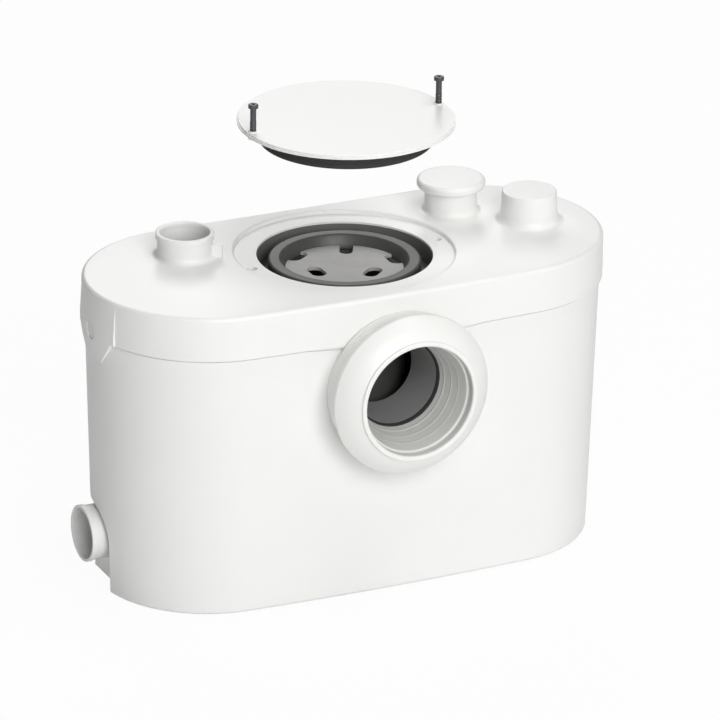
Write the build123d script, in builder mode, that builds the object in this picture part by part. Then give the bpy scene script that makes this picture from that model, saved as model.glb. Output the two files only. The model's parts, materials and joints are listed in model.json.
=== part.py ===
from build123d import *
import math
import os

# Macerator toilet pump in millimetres, +Z up, the front with the pan inlet facing -Y.
# The origin is the centre of the floor under the feet. The access cover is lifted off.

# Casing: one plan with round ends, a straight back and a slightly bowed front
body_height = 263.0
plan_half_length = 223.5
plan_end_r = 101.5
plan_front_r = 2400.0
foot_proud = 1.5
tank_wall = 3.2
tank_floor = 3.5
tank_base_edge_r = 3.0
base_draw_in = 8.5
shoulder_draw_in = 2.5
skirt_height = 38.0
seam_gap = 0.6
rim_gap = 0.4
rim_wall = 3.2
gasket_height = 4.0

# Clearances shared by the whole product
cut_over = 10.0
seat_gap = 0.2
running_gap = 0.05
free_gap = 0.3

# Lid shell and the round recess of the access cover
lid_wall = 3.0
lid_edge_r = 3.8
recess_r = 90.0
recess_depth = 3.5
recess_edge_r = 2.0
opening_r = 72.0
arch_gap = 1.3

# Ears at the two ends of the lid skirt
ear_half_width = 34.0
ear_proud = 1.4
ear_belly_height = 9.0
ear_fade_drop = 4.0
ear_tab_drop = 20.0
ear_tab_half_width = 14.0
ear_tab_top_half_width = 30.0
ear_tab_draw_in = 1.0
ear_screw_height = 4.0
ear_dimple_r = 7.6
ear_dimple_depth = 3.6
ear_plug_thickness = 0.8
ear_plug_sunk = 1.4
ear_head_r = 4.0
ear_head_height = 1.2
ear_shank_r = 2.0
ear_shank_length = 18.0
ear_boss_r = 6.0
ear_boss_length = 14.0

# Pan inlet on the front: boss, neck, clamp flange, ribbed sleeve, seal and collar
pan_z = 185.0
pan_boss_r = 67.0
pan_boss_out = 107.0
pan_neck_r = 60.0
pan_neck_out = 122.0
pan_neck_bore_r = 53.0
pan_lip_r = 42.0
pan_lip_out = 93.5
pan_lip_thickness = 3.0
flange_back_r = 65.2
flange_front_r = 67.0
flange_edge_out = 129.5
flange_nose_length = 7.5
flange_nose_r = 53.0
flange_groove_depth = 1.2
flange_groove_width = 2.0
flange_groove_count = 3
sleeve_mouth_r = 47.0
sleeve_lip_r = 50.0
sleeve_mouth_length = 9.0
sleeve_mouth_depth = 8.0
sleeve_collar_thickness = 3.8
sleeve_front_r = 46.0
sleeve_end_r = 41.5
sleeve_rib_front_r = 44.4
sleeve_rib_end_r = 38.8
sleeve_rib_thickness = 1.8
sleeve_rib_slope = 1.6
sleeve_rib_count = 4
pan_seal_r = 36.5
pan_seal_thickness = 4.0
collar_r = 36.0
collar_end_r = 34.5
collar_wall = 3.0
collar_flange_thickness = 2.8
collar_inner_out = 64.0

# Open outlet spigot at the left of the lid
outlet_x = -124.0
outlet_y = 41.0
outlet_lip_r = 24.0
outlet_bore_r = 21.0
outlet_neck_r = 22.6
outlet_height = 20.0
outlet_lip_height = 4.6
outlet_fillet_r = 5.0
outlet_tail = 20.0
lug_reach = 31.0
lug_thickness = 5.0
lug_height = 10.5
lug_angle = -30.0

# Vent stem with its mushroom cap, at the right of the lid
vent_x = 119.0
vent_y = 48.5
vent_stem_r = 21.7
vent_stem_height = 19.7
vent_fillet_r = 4.0
vent_bore_r = 18.6
vent_ledge_r = 14.0
vent_ledge_height = 2.0
vent_cap_r = 28.4
vent_cap_height = 8.3
vent_cap_edge_r = 3.4
vent_plug_depth = 9.0
vent_plug_wall = 2.0
vent_filter_height = 6.0

# Closed boss over the pressure switch, at the right end of the lid
dome_inset = 55.5
dome_y = 2.0
dome_r = 22.5
dome_foot_r = 23.6
dome_height = 26.0
dome_wall = 3.0
dome_edge_r = 1.4
dome_fillet_r = 6.0
dome_tail = 20.0

# Access cover with its plug ring, seal and two captive screws
cover_r = 88.5
cover_thickness = 3.0
cover_lift = 114.5
cover_rim_step = 1.1
cover_rim_drop = 1.2
plug_r = 68.0
plug_wall = 1.4
plug_depth = 18.2
seal_r = 71.4
seal_groove_depth = 0.9
seal_band = 12.5
seal_rise = 0.4
cover_screw_x = 82.5
cover_screw_r = 2.45
cover_screw_length = 27.4
cover_screw_head_r = 4.1
cover_screw_head_height = 3.2
cover_screw_slot_width = 1.2
cover_screw_slot_depth = 1.2
cover_screw_travel = 19.4
cover_collar_r = 3.9
cover_collar_height = 1.0
cover_nub_r = 3.9
cover_nub_height = 3.0
cover_nub_gap = 0.4
lid_screw_boss_r = 7.4
lid_screw_boss_length = 24.5

# Motor can hanging under the opening, with its cup and flange
can_bore_r = 48.4
can_wall = 2.6
can_mouth_r = 51.6
can_ring_r = 62.5
can_ring_drop = 6.7
can_ring_wall = 3.0
can_ring_edge = 1.5
can_flange_drop = 20.0
can_flange_r = 74.0
can_flange_thickness = 3.0
can_length = 136.0
can_ear_pitch_r = 80.0
can_ear_half_width = 7.0
can_ear_count = 4
can_ear_start = 45.0
can_boss_r = 6.0
can_screw_r = 1.9
can_screw_length = 12.0
can_screw_head_r = 3.6
can_screw_head_height = 2.4
can_ledge_r = 44.0
can_ledge_height = 4.0

# End plate at the bottom of the cup
plate_drop = 15.0
plate_thickness = 3.0
plate_slot_length = 21.0
plate_slot_width = 12.5
plate_slot_pitch_r = 25.0
plate_slot_angles = (180.0, 311.0)
plate_rim_slot_pitch_r = 45.0
plate_rim_slot_angles = (0.0, 125.0, 242.0)
plate_notch_r = 29.0
plate_notch_width = 11.0
plate_notch_angle = 63.0

# Motor: shaft, bearings, laminations, windings and lower shield
shaft_r = 5.0
shaft_end_gap = 1.0
bearing_r = 11.0
bearing_width = 7.0
bearing_groove_r = 8.0
bearing_groove_width = 2.0
bearing_groove_depth = 0.6
bearing_hub_r = 15.0
bearing_hub_height = 12.0
stack_rise = 33.0
stack_height = 60.0
stator_bore_r = 27.0
stator_slot_count = 12
stator_slot_length = 12.0
stator_slot_width = 7.0
stator_slot_pitch_r = 37.0
rotor_r = 26.5
winding_inner_r = 30.5
winding_outer_r = 44.0
winding_height = 14.0
winding_edge = 4.0
shield_thickness = 6.0
shield_flange_thickness = 3.0
shaft_seal_r = 9.0
shaft_seal_height = 6.0

# Pump at the foot of the shaft
pump_r = 54.0
pump_bore_r = 46.0
pump_bottom_z = 8.0
pump_height = 28.0
pump_floor = 3.0
pump_cover_thickness = 3.0
pump_eye_r = 15.0
pump_seat_r = 44.0
pump_seat_wall = 4.0
pump_stub_reach = 60.0
pump_nose_length = 12.0
pump_nose_wall = 2.0
pipe_r = 13.0
pipe_bore_r = 10.5
pipe_bend_r = 26.0
impeller_r = 40.0
impeller_gap = 3.0
impeller_back = 3.0
impeller_blade_height = 17.0
impeller_blade_thickness = 3.0
impeller_blade_count = 6
impeller_hub_r = 9.0
pump_screw_pitch_r = 50.0
pump_screw_count = 3
pump_screw_start = 30.0
pump_screw_r = 1.95
pump_screw_head_r = 3.6
pump_screw_head_height = 2.4
pump_screw_length = 14.0

# Macerator basket and blade
basket_foot_r = 58.0
basket_top_r = 87.0
basket_height = 78.0
basket_wall = 2.0
basket_floor = 2.5
basket_hole_r = 16.0
basket_slot_width = 7.0
basket_slot_foot = 12.0
basket_slot_height = 52.0
basket_slot_count = 24
blade_gap = 6.0
blade_hub_r = 11.0
blade_hub_height = 9.0
blade_arm_r = 50.0
blade_arm_width = 12.0
blade_arm_thickness = 3.0
blade_bevel = 2.0
blade_arm_count = 2

# Non-return valve under the outlet spigot
valve_wall = 2.9
valve_chamber_r = 21.4
valve_chamber_height = 36.0
valve_throat = 8.0
valve_socket_depth = 10.0
valve_grip = 12.0
flap_r = 17.0
flap_thickness = 2.0
flap_hinge_reach = 17.5
flap_hinge_rise = 3.4
flap_heel = 4.5
flap_barrel_r = 2.2
flap_barrel_half = 5.6
flap_pin_r = 1.0
flap_lug_thickness = 2.6
flap_lug_r = 2.9
flap_lug_tail = 4.6

# Low side inlet in the corner pocket at the left end
side_y = 14.0
side_z = 45.3
side_mouth_proud = 3.0
side_lip_r = 23.5
side_lip_length = 4.0
side_neck_r = 22.6
side_bore_r = 21.2
side_shoulder_r = 24.8
side_shoulder_length = 4.0
side_ring_r = 27.4
side_ring_length = 8.0
side_flap_r = 22.4
side_hinge_reach = 25.8
side_lug_tail = 9.0
pocket_depth = 41.5
pocket_front_y = -15.0
pocket_back_y = 120.0
pocket_top_z = 71.0
pocket_corner_r = 27.0
gusset_length = 26.0
gusset_half_width = 16.0
gusset_bottom_z = 8.0

# Pressure bell, diaphragm, plunger and microswitch under the closed boss
bell_r = 10.0
bell_bore_r = 8.0
bell_bottom_z = 12.0
bell_flange_thickness = 3.0
diaphragm_thickness = 1.4
switch_case_wall = 2.6
switch_case_head = 5.0
switch_web_rise = 7.0
switch_web_thickness = 2.0
plunger_r = 3.0
plunger_foot_r = 8.0
plunger_foot_height = 2.0
plunger_length = 10.6
plunger_travel = 2.0
microswitch_length = 20.0
microswitch_width = 9.0
microswitch_height = 14.0
microswitch_button_r = 1.6
microswitch_button_height = 1.4
microswitch_rail = 3.0

# Electrics box under the lid
box_x = 122.0
box_y = -50.0
box_length = 46.0
box_width = 48.0
box_height = 44.0
box_wall = 2.2
box_corner_r = 4.0
board_thickness = 1.6
board_rise = 30.0
board_post_r = 2.4
capacitor_r = 12.5
capacitor_length = 36.0
capacitor_edge = 1.5

# Cable gland in the back of the lid skirt
gland_x = 60.0
gland_drop = 19.0
gland_thread_r = 8.0
gland_thread_tail = 3.5
gland_hex_r = 11.0
gland_hex_length = 5.0
gland_dome_r = 9.4
gland_dome_end_r = 7.0
gland_dome_length = 9.0
gland_bore_r = 3.8
gland_nut_length = 4.5
gland_notch_half = 13.0

# Rubber pads let into the underside
foot_r = 12.0
foot_recess = 1.8
foot_edge = 0.8
foot_x = 150.0
foot_y = 58.0

# Places worked out from the sizes above
lid_top_z = body_height
lid_under_z = lid_top_z - lid_wall
seam_z = lid_top_z - skirt_height
shoulder_z = seam_z - seam_gap
rim_top_z = lid_under_z - gasket_height
rim_draw_in = lid_wall + rim_gap
floor_z = foot_proud + tank_floor
back_y = plan_end_r
end_x = plan_half_length - plan_end_r
bow_lean = math.asin(end_x / (plan_front_r - plan_end_r))
bow_y = (plan_front_r - plan_end_r) * math.cos(bow_lean)
front_out = plan_front_r - bow_y
recess_floor_z = lid_top_z - recess_depth
tub_under_z = recess_floor_z - lid_wall
outlet_top_z = lid_top_z + outlet_height
outlet_tail_z = lid_under_z - outlet_tail
vent_top_z = lid_top_z + vent_stem_height
dome_top_z = lid_top_z + dome_height
dome_bore_r = dome_r - dome_wall
dome_tail_z = lid_under_z - dome_tail
can_ring_z = lid_top_z - can_ring_drop
can_flange_z = lid_top_z - can_flange_drop
can_flange_under_z = can_flange_z - can_flange_thickness
can_bottom_z = can_flange_z - can_length
can_r = can_bore_r + can_wall
plate_z = lid_top_z - plate_drop
plate_under_z = plate_z - plate_thickness
upper_bearing_z = plate_under_z - bearing_hub_height
stack_bottom_z = can_bottom_z + stack_rise
stack_top_z = stack_bottom_z + stack_height
shield_top_z = can_bottom_z + shield_thickness
shaft_bottom_z = pump_bottom_z + pump_floor + shaft_end_gap
shaft_top_z = upper_bearing_z + bearing_width
pump_top_z = pump_bottom_z + pump_height
pump_cover_z = pump_top_z + pump_cover_thickness
pipe_z = pump_bottom_z + pump_height / 2
basket_z = pump_cover_z + seat_gap
basket_floor_z = basket_z + basket_floor
basket_top_z = basket_z + basket_height
blade_z = basket_floor_z + blade_gap
impeller_z = pump_bottom_z + pump_floor + impeller_gap
cover_top_z = lid_top_z + cover_lift
cover_under_z = cover_top_z - cover_thickness
cover_screw_z = cover_top_z + cover_collar_height + cover_screw_travel
ear_screw_z = seam_z + ear_screw_height
ear_face_x = plan_half_length + ear_proud
ear_floor_x = ear_face_x - ear_dimple_depth
ear_tab_z = seam_z - ear_tab_drop
rim_x = plan_half_length - rim_draw_in
gland_z = lid_top_z - gland_drop
dome_x = plan_half_length - dome_inset
pocket_x = plan_half_length - pocket_depth
gusset_x = pocket_x + gusset_length
side_mouth_x = plan_half_length + side_mouth_proud
flange_nose_out = flange_edge_out + flange_nose_length
sleeve_mouth_out = flange_nose_out + sleeve_mouth_length
sleeve_back_out = pan_lip_out + pan_lip_thickness + collar_flange_thickness + pan_seal_thickness + free_gap
bell_flange_z = dome_tail_z
bell_top_z = bell_flange_z + bell_flange_thickness
diaphragm_top_z = bell_top_z + diaphragm_thickness
switch_r = dome_bore_r - free_gap
switch_web_z = bell_top_z + switch_web_rise
switch_top_z = dome_top_z - dome_wall - switch_case_head
plunger_z = diaphragm_top_z + free_gap
plunger_top_z = plunger_z + plunger_length
microswitch_z = plunger_top_z + plunger_travel + free_gap + microswitch_button_height
side_inner_x = pocket_x - tank_wall - side_ring_length
valve_r = valve_chamber_r + valve_wall
valve_seat_z = outlet_tail_z - valve_chamber_height
valve_socket_z = valve_seat_z - valve_throat
valve_bottom_z = valve_socket_z - valve_socket_depth
ends = (-1, 1)
foot_places = [(0, 0)] + [(x * foot_x, y * foot_y) for x in ends for y in ends]

pan_plane = Plane(origin=(0, 0, pan_z), x_dir=(0, -1, 0), z_dir=(-1, 0, 0))
pan_axis = Axis((0, 0, pan_z), (0, 1, 0))
side_plane = Plane(origin=(0, side_y, side_z), x_dir=(-1, 0, 0), z_dir=(0, 1, 0))
side_axis = Axis((0, side_y, side_z), (1, 0, 0))
gland_plane = Plane(origin=(gland_x, 0, gland_z), x_dir=(0, 1, 0), z_dir=(1, 0, 0))
gland_axis = Axis((gland_x, 0, gland_z), (0, 1, 0))

os.makedirs("parts", exist_ok=True)


def save(piece, name):
    """Label a finished piece and write its STEP file."""
    piece.label = name
    export_step(piece, f"parts/{name}.step")


def cut(solid):
    """Take a solid away from the piece being built."""
    add(solid, mode=Mode.SUBTRACT)


def plan_face(draw_in):
    """Plan of the casing, drawn in all round by a distance."""
    end_r = plan_end_r - draw_in
    front_r = plan_front_r - draw_in
    touch_x = front_r * math.sin(bow_lean)
    touch_y = bow_y - front_r * math.cos(bow_lean)
    with BuildSketch() as plan:
        with BuildLine():
            Line((-end_x, end_r), (end_x, end_r))
            ThreePointArc((end_x, end_r), (end_x + end_r, 0), (touch_x, touch_y))
            ThreePointArc((touch_x, touch_y), (0, bow_y - front_r), (-touch_x, touch_y))
            ThreePointArc((-touch_x, touch_y), (-end_x - end_r, 0), (-end_x, end_r))
        make_face()
    return plan.sketch


def plan_block(low_z, low_draw_in, high_z, high_draw_in):
    """Solid of the casing's plan between two heights, drawn in by its own distance at each."""
    with BuildPart() as block:
        with BuildSketch(Plane.XY.offset(low_z)):
            add(plan_face(low_draw_in))
        if low_draw_in == high_draw_in:
            extrude(amount=high_z - low_z)
        else:
            with BuildSketch(Plane.XY.offset(high_z)):
                add(plan_face(high_draw_in))
            loft(ruled=True)
    return block.part


def turned(plane, axis, points):
    """Solid of revolution of a closed profile of distance and radius pairs in a plane."""
    with BuildPart() as solid:
        with BuildSketch(plane):
            with BuildLine():
                Polyline(*points, close=True)
            make_face()
        revolve(axis=axis)
    return solid.part


def upright(x, y):
    """Plane and axis for turning a profile of radius and height about an upright axis."""
    plane = Plane(origin=(x, y, 0), x_dir=(1, 0, 0), z_dir=(0, -1, 0))
    return plane, Axis((x, y, 0), (0, 0, 1))


def disc(x, y, low_z, high_z, radius):
    """Upright cylinder between two heights."""
    with BuildPart() as solid:
        with BuildSketch(Plane.XY.offset(low_z)):
            with Locations((x, y)):
                Circle(radius)
        extrude(amount=high_z - low_z)
    return solid.part


def ring(x, y, low_z, high_z, outer_r, inner_r):
    """Upright tube between two heights."""
    with BuildPart() as solid:
        with BuildSketch(Plane.XY.offset(low_z)):
            with Locations((x, y)):
                Circle(outer_r)
                Circle(inner_r, mode=Mode.SUBTRACT)
        extrude(amount=high_z - low_z)
    return solid.part


def front_disc(outer_out, inner_out, radius):
    """Cylinder along the pan inlet between two distances in front of the middle."""
    with BuildPart() as solid:
        with BuildSketch(Plane.XZ.offset(outer_out)):
            with Locations((0, pan_z)):
                Circle(radius)
        extrude(amount=inner_out - outer_out)
    return solid.part


def end_disc(side, near_x, far_x, y, z, radius):
    """Cylinder along X at one end, between two distances from the middle."""
    with BuildPart() as solid:
        with BuildSketch(Plane.YZ.offset(side * near_x)):
            with Locations((y, z)):
                Circle(radius)
        extrude(amount=side * (far_x - near_x))
    return solid.part


def cross_pin(x, y, z, half_length, radius):
    """Cylinder along Y, centred on a point."""
    with BuildPart() as solid:
        with BuildSketch(Plane.XZ.offset(-y)):
            with Locations((x, z)):
                Circle(radius)
        extrude(amount=half_length, both=True)
    return solid.part


def hexagon_bar(low_y, high_y, radius):
    """Hexagon bar along the cable gland between two distances behind the middle."""
    with BuildPart() as solid:
        with BuildSketch(Plane.XZ.offset(-low_y)):
            with Locations((gland_x, gland_z)):
                RegularPolygon(radius, 6)
        extrude(amount=low_y - high_y)
    return solid.part


def post(x, y, foot_r, top_r, top_z, fillet_r):
    """Solid post on the lid with a hollow fillet at its foot."""
    plane, axis = upright(x, y)
    with BuildPart() as solid:
        with BuildSketch(plane):
            with BuildLine():
                TangentArc(
                    (foot_r + fillet_r, lid_top_z),
                    (foot_r, lid_top_z + fillet_r),
                    tangent=(-1, 0),
                )
                Polyline(
                    (foot_r, lid_top_z + fillet_r),
                    (top_r, top_z),
                    (0, top_z),
                    (0, lid_under_z),
                    (foot_r + fillet_r, lid_under_z),
                    (foot_r + fillet_r, lid_top_z),
                )
            make_face()
        revolve(axis=axis)
    return solid.part


def pocket_block(grow):
    """Space cut out of the left end around the side inlet, grown by a distance."""
    near_y = pocket_front_y - grow
    top_z = pocket_top_z + grow
    corner_r = pocket_corner_r + grow
    with BuildPart() as block:
        with BuildSketch(Plane.YZ.offset(-plan_half_length - cut_over)):
            with BuildLine():
                Line((near_y, -cut_over), (near_y, top_z - corner_r))
                TangentArc((near_y, top_z - corner_r), (near_y + corner_r, top_z), tangent=(0, 1))
                Polyline(
                    (near_y + corner_r, top_z),
                    (pocket_back_y, top_z),
                    (pocket_back_y, -cut_over),
                    (near_y, -cut_over),
                )
            make_face()
        extrude(amount=plan_half_length + cut_over - pocket_x + grow)
    return block.part


def ring_places(radius, count, start):
    """Points spaced evenly on a circle, from a start angle."""
    angles = [math.radians(start + 360 / count * index) for index in range(count)]
    return [(radius * math.cos(angle), radius * math.sin(angle)) for angle in angles]


def hinged_flap(plane, radius, reach):
    """Valve flap hung from a barrel on the plane's origin, reaching along its X axis."""
    heel_x = flap_heel
    with BuildPart() as solid:
        with BuildSketch(plane.offset(-flap_hinge_rise)):
            with Locations((reach, 0)):
                Circle(radius)
            with Locations((heel_x / 2, 0)):
                Rectangle(heel_x, reach + radius, mode=Mode.SUBTRACT)
            with Locations((heel_x, 0)):
                Rectangle(heel_x + heel_x, flap_barrel_half + flap_barrel_half)
        extrude(amount=flap_thickness)
        with BuildSketch(Plane(origin=plane.origin, x_dir=plane.x_dir, z_dir=plane.y_dir)):
            Circle(flap_barrel_r)
        extrude(amount=flap_barrel_half, both=True)
        with BuildSketch(Plane(origin=plane.origin, x_dir=plane.x_dir, z_dir=plane.y_dir)):
            Circle(flap_pin_r + running_gap)
        extrude(amount=flap_barrel_half + cut_over, both=True, mode=Mode.SUBTRACT)
    return solid.part


def hinge_lugs(plane, tail):
    """Pair of rounded lugs either side of a flap's barrel, with tails against the plane's X axis."""
    with BuildPart() as solid:
        for side in ends:
            inner = side * (flap_barrel_half + free_gap)
            face = Plane(origin=plane.origin + plane.y_dir * inner, x_dir=plane.x_dir, z_dir=plane.y_dir)
            with BuildSketch(face):
                Circle(flap_lug_r)
                with Locations((-tail / 2, 0)):
                    Rectangle(tail, flap_lug_r + flap_lug_r)
                Circle(flap_pin_r, mode=Mode.SUBTRACT)
            extrude(amount=side * flap_lug_thickness)
    return solid.part


can_ear_places = ring_places(can_ear_pitch_r, can_ear_count, can_ear_start)
pump_screw_places = ring_places(pump_screw_pitch_r, pump_screw_count, pump_screw_start)

# Tank: drafted shell with rim, pan neck, corner pocket, gusset and bosses
with BuildPart() as tank_outside:
    add(plan_block(foot_proud, base_draw_in, shoulder_z, shoulder_draw_in))
    fillet(tank_outside.edges().group_by(Axis.Z)[0], tank_base_edge_r)
    add(plan_block(shoulder_z, rim_draw_in, rim_top_z, rim_draw_in))
    add(front_disc(pan_boss_out, 0, pan_boss_r))

with BuildPart() as tank_inside:
    add(plan_block(floor_z, base_draw_in + tank_wall, rim_top_z, rim_draw_in + rim_wall))
    cut(pocket_block(tank_wall))

with BuildPart() as tank:
    add(tank_outside.part)
    cut(tank_inside.part)
    cut(pocket_block(0))
    add(front_disc(pan_neck_out, pan_lip_out, pan_neck_r))
    cut(front_disc(pan_neck_out + cut_over, pan_lip_out + pan_lip_thickness, pan_neck_bore_r))
    cut(front_disc(pan_neck_out, pan_lip_out - cut_over, pan_lip_r))
    with BuildSketch(Plane.XY.offset(gusset_bottom_z)):
        with Locations((-(pocket_x + gusset_x) / 2, side_y)):
            Rectangle(gusset_x - pocket_x, gusset_half_width + gusset_half_width)
    extrude(amount=side_z - gusset_bottom_z)
    hole_r = side_neck_r + seat_gap
    cut(end_disc(-1, gusset_x + cut_over, pocket_x - tank_wall - cut_over, side_y, side_z, hole_r))
    shoulder_r = side_shoulder_r + free_gap
    cut(end_disc(-1, pocket_x + side_shoulder_length + free_gap, pocket_x, side_y, side_z, shoulder_r))
    for side in ends:
        add(end_disc(side, rim_x, rim_x - rim_wall - ear_boss_length, 0, ear_screw_z, ear_boss_r))
        pilot_r = ear_shank_r + running_gap
        cut(end_disc(side, rim_x + cut_over, rim_x - rim_wall - ear_boss_length, 0, ear_screw_z, pilot_r))
    add(ring(0, 0, floor_z, pump_bottom_z, pump_seat_r, pump_seat_r - pump_seat_wall))
    with BuildSketch(Plane.XY.offset(foot_proud)):
        with Locations(*foot_places):
            Circle(foot_r + seat_gap)
    extrude(amount=foot_recess, mode=Mode.SUBTRACT)
    with BuildSketch(Plane.XY.offset(gland_z - gland_notch_half)):
        with Locations((gland_x, back_y)):
            Rectangle(gland_notch_half + gland_notch_half, plan_end_r / 2)
    extrude(amount=rim_top_z - gland_z + gland_notch_half, mode=Mode.SUBTRACT)
save(tank.part, "tank")

# Feet: rubber pads in their recesses, one near each corner and one in the middle
with BuildPart() as feet:
    with BuildSketch():
        with Locations(*foot_places):
            Circle(foot_r)
    extrude(amount=foot_proud + foot_recess)
    chamfer(feet.edges().group_by(Axis.Z)[0], foot_edge)
save(feet.part, "feet")

# Lid: ears on the skirt ends, round recess and tube of the opening, spigot, vent stem and dome
with BuildPart() as ears:
    add(plan_block(seam_z, -ear_proud, seam_z + ear_belly_height, -ear_proud))
    add(plan_block(seam_z + ear_belly_height, -ear_proud, lid_top_z - ear_fade_drop, 0))
    with BuildSketch(Plane.XY.offset(seam_z)):
        Rectangle(ear_face_x * 2, ear_half_width * 2)
    extrude(amount=skirt_height, mode=Mode.INTERSECT)

with BuildPart() as tabs:
    tab_inner = shoulder_draw_in - free_gap
    add(plan_block(ear_tab_z, ear_tab_draw_in, seam_z, -ear_proud))
    cut(plan_block(ear_tab_z - cut_over, tab_inner, seam_z + cut_over, tab_inner))
    with BuildSketch(Plane.YZ.offset(-ear_face_x)):
        with BuildLine():
            Polyline(
                (-ear_tab_top_half_width, seam_z),
                (ear_tab_top_half_width, seam_z),
                (ear_tab_half_width, ear_tab_z),
                (-ear_tab_half_width, ear_tab_z),
                close=True,
            )
        make_face()
    extrude(amount=ear_face_x * 2, mode=Mode.INTERSECT)

with BuildPart() as dome:
    add(post(dome_x, dome_y, dome_foot_r, dome_r, dome_top_z, dome_fillet_r))
    fillet(dome.edges().group_by(Axis.Z)[-1], dome_edge_r)

with BuildPart() as lid:
    add(plan_block(seam_z, 0, lid_top_z, 0))
    fillet(lid.edges().group_by(Axis.Z)[-1], lid_edge_r)
    add(ears.part)
    cut(plan_block(seam_z - cut_over, lid_wall, lid_under_z, lid_wall))
    add(tabs.part)
    add(disc(0, 0, tub_under_z, lid_under_z + lid_wall / 2, recess_r + lid_wall))
    add(disc(0, 0, can_flange_z, tub_under_z + lid_wall / 2, opening_r + lid_wall))
    for side in ends:
        boss_z = recess_floor_z - lid_screw_boss_length
        add(disc(side * cover_screw_x, 0, boss_z, tub_under_z + lid_wall / 2, lid_screw_boss_r))
    for x, y in can_ear_places:
        add(disc(x, y, can_flange_z, tub_under_z + lid_wall / 2, can_boss_r))
    cut(disc(0, 0, recess_floor_z, lid_top_z + cut_over, recess_r))
    top_arcs = lid.edges().filter_by(GeomType.CIRCLE).group_by(Axis.Z)[-1]
    fillet(top_arcs.group_by(SortBy.RADIUS)[0], recess_edge_r)
    cut(disc(0, 0, can_flange_z - cut_over, lid_top_z, opening_r))
    for side in ends:
        nub_r = cover_nub_r + cover_nub_gap
        hole_r = cover_screw_r + seat_gap
        cut(disc(side * cover_screw_x, 0, recess_floor_z - cover_nub_height - seat_gap, lid_top_z, nub_r))
        cut(disc(side * cover_screw_x, 0, boss_z, lid_top_z, hole_r))
    for x, y in can_ear_places:
        cut(disc(x, y, can_flange_z, can_flange_z + can_screw_length, can_screw_r + running_gap))
    cut(front_disc(front_out + cut_over, front_out - lid_wall - cut_over, pan_boss_r + arch_gap))
    add(post(outlet_x, outlet_y, outlet_neck_r, outlet_neck_r, outlet_top_z, outlet_fillet_r))
    add(disc(outlet_x, outlet_y, outlet_top_z - outlet_lip_height, outlet_top_z, outlet_lip_r))
    add(disc(outlet_x, outlet_y, outlet_tail_z, lid_under_z + lid_wall / 2, outlet_neck_r))
    lug_plane = Plane(
        origin=(outlet_x, outlet_y, lid_top_z - lid_wall / 2),
        x_dir=(math.cos(math.radians(lug_angle)), math.sin(math.radians(lug_angle)), 0),
    )
    with BuildSketch(lug_plane):
        with Locations(((outlet_bore_r + lug_reach - lug_thickness / 2) / 2, 0)):
            Rectangle(lug_reach - lug_thickness / 2 - outlet_bore_r, lug_thickness)
        with Locations((lug_reach - lug_thickness / 2, 0)):
            Circle(lug_thickness / 2)
    extrude(amount=lug_height + lid_wall / 2)
    cut(disc(outlet_x, outlet_y, outlet_tail_z, outlet_top_z, outlet_bore_r))
    add(post(vent_x, vent_y, vent_stem_r, vent_stem_r, vent_top_z, vent_fillet_r))
    cut(disc(vent_x, vent_y, lid_top_z + vent_ledge_height, vent_top_z, vent_bore_r))
    cut(disc(vent_x, vent_y, lid_under_z - cut_over, vent_top_z, vent_ledge_r))
    add(dome.part)
    add(disc(dome_x, dome_y, dome_tail_z, lid_under_z + lid_wall / 2, dome_r))
    cut(disc(dome_x, dome_y, dome_tail_z, dome_top_z - dome_wall, dome_bore_r))
    for side in ends:
        cut(end_disc(side, ear_face_x + cut_over, ear_floor_x, 0, ear_screw_z, ear_dimple_r))
        cut(end_disc(side, ear_face_x, rim_x, 0, ear_screw_z, ear_shank_r + seat_gap))
    with BuildSketch(Plane.XZ.offset(-back_y - cut_over)):
        with Locations((gland_x, gland_z)):
            Circle(gland_thread_r + seat_gap)
    extrude(amount=lid_wall + cut_over + rim_gap, mode=Mode.SUBTRACT)
save(lid.part, "lid")

# Gasket between the tank rim and the underside of the lid
with BuildPart() as lid_gasket:
    add(plan_block(rim_top_z, rim_draw_in, lid_under_z, rim_draw_in))
    inner_draw_in = rim_draw_in + rim_wall
    cut(plan_block(rim_top_z, inner_draw_in, lid_under_z, inner_draw_in))
save(lid_gasket.part, "lid_gasket")

# Ear screws into the tank bosses, and the white plugs over their heads
with BuildPart() as lid_screws:
    for side in ends:
        add(end_disc(side, ear_floor_x + ear_head_height, ear_floor_x, 0, ear_screw_z, ear_head_r))
        add(end_disc(side, ear_floor_x, ear_floor_x - ear_shank_length, 0, ear_screw_z, ear_shank_r))
save(lid_screws.part, "lid_screws")

with BuildPart() as screw_plugs:
    for side in ends:
        plug_x = ear_face_x - ear_plug_sunk
        add(end_disc(side, plug_x, plug_x - ear_plug_thickness, 0, ear_screw_z, ear_dimple_r - free_gap))
save(screw_plugs.part, "screw_plugs")

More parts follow.
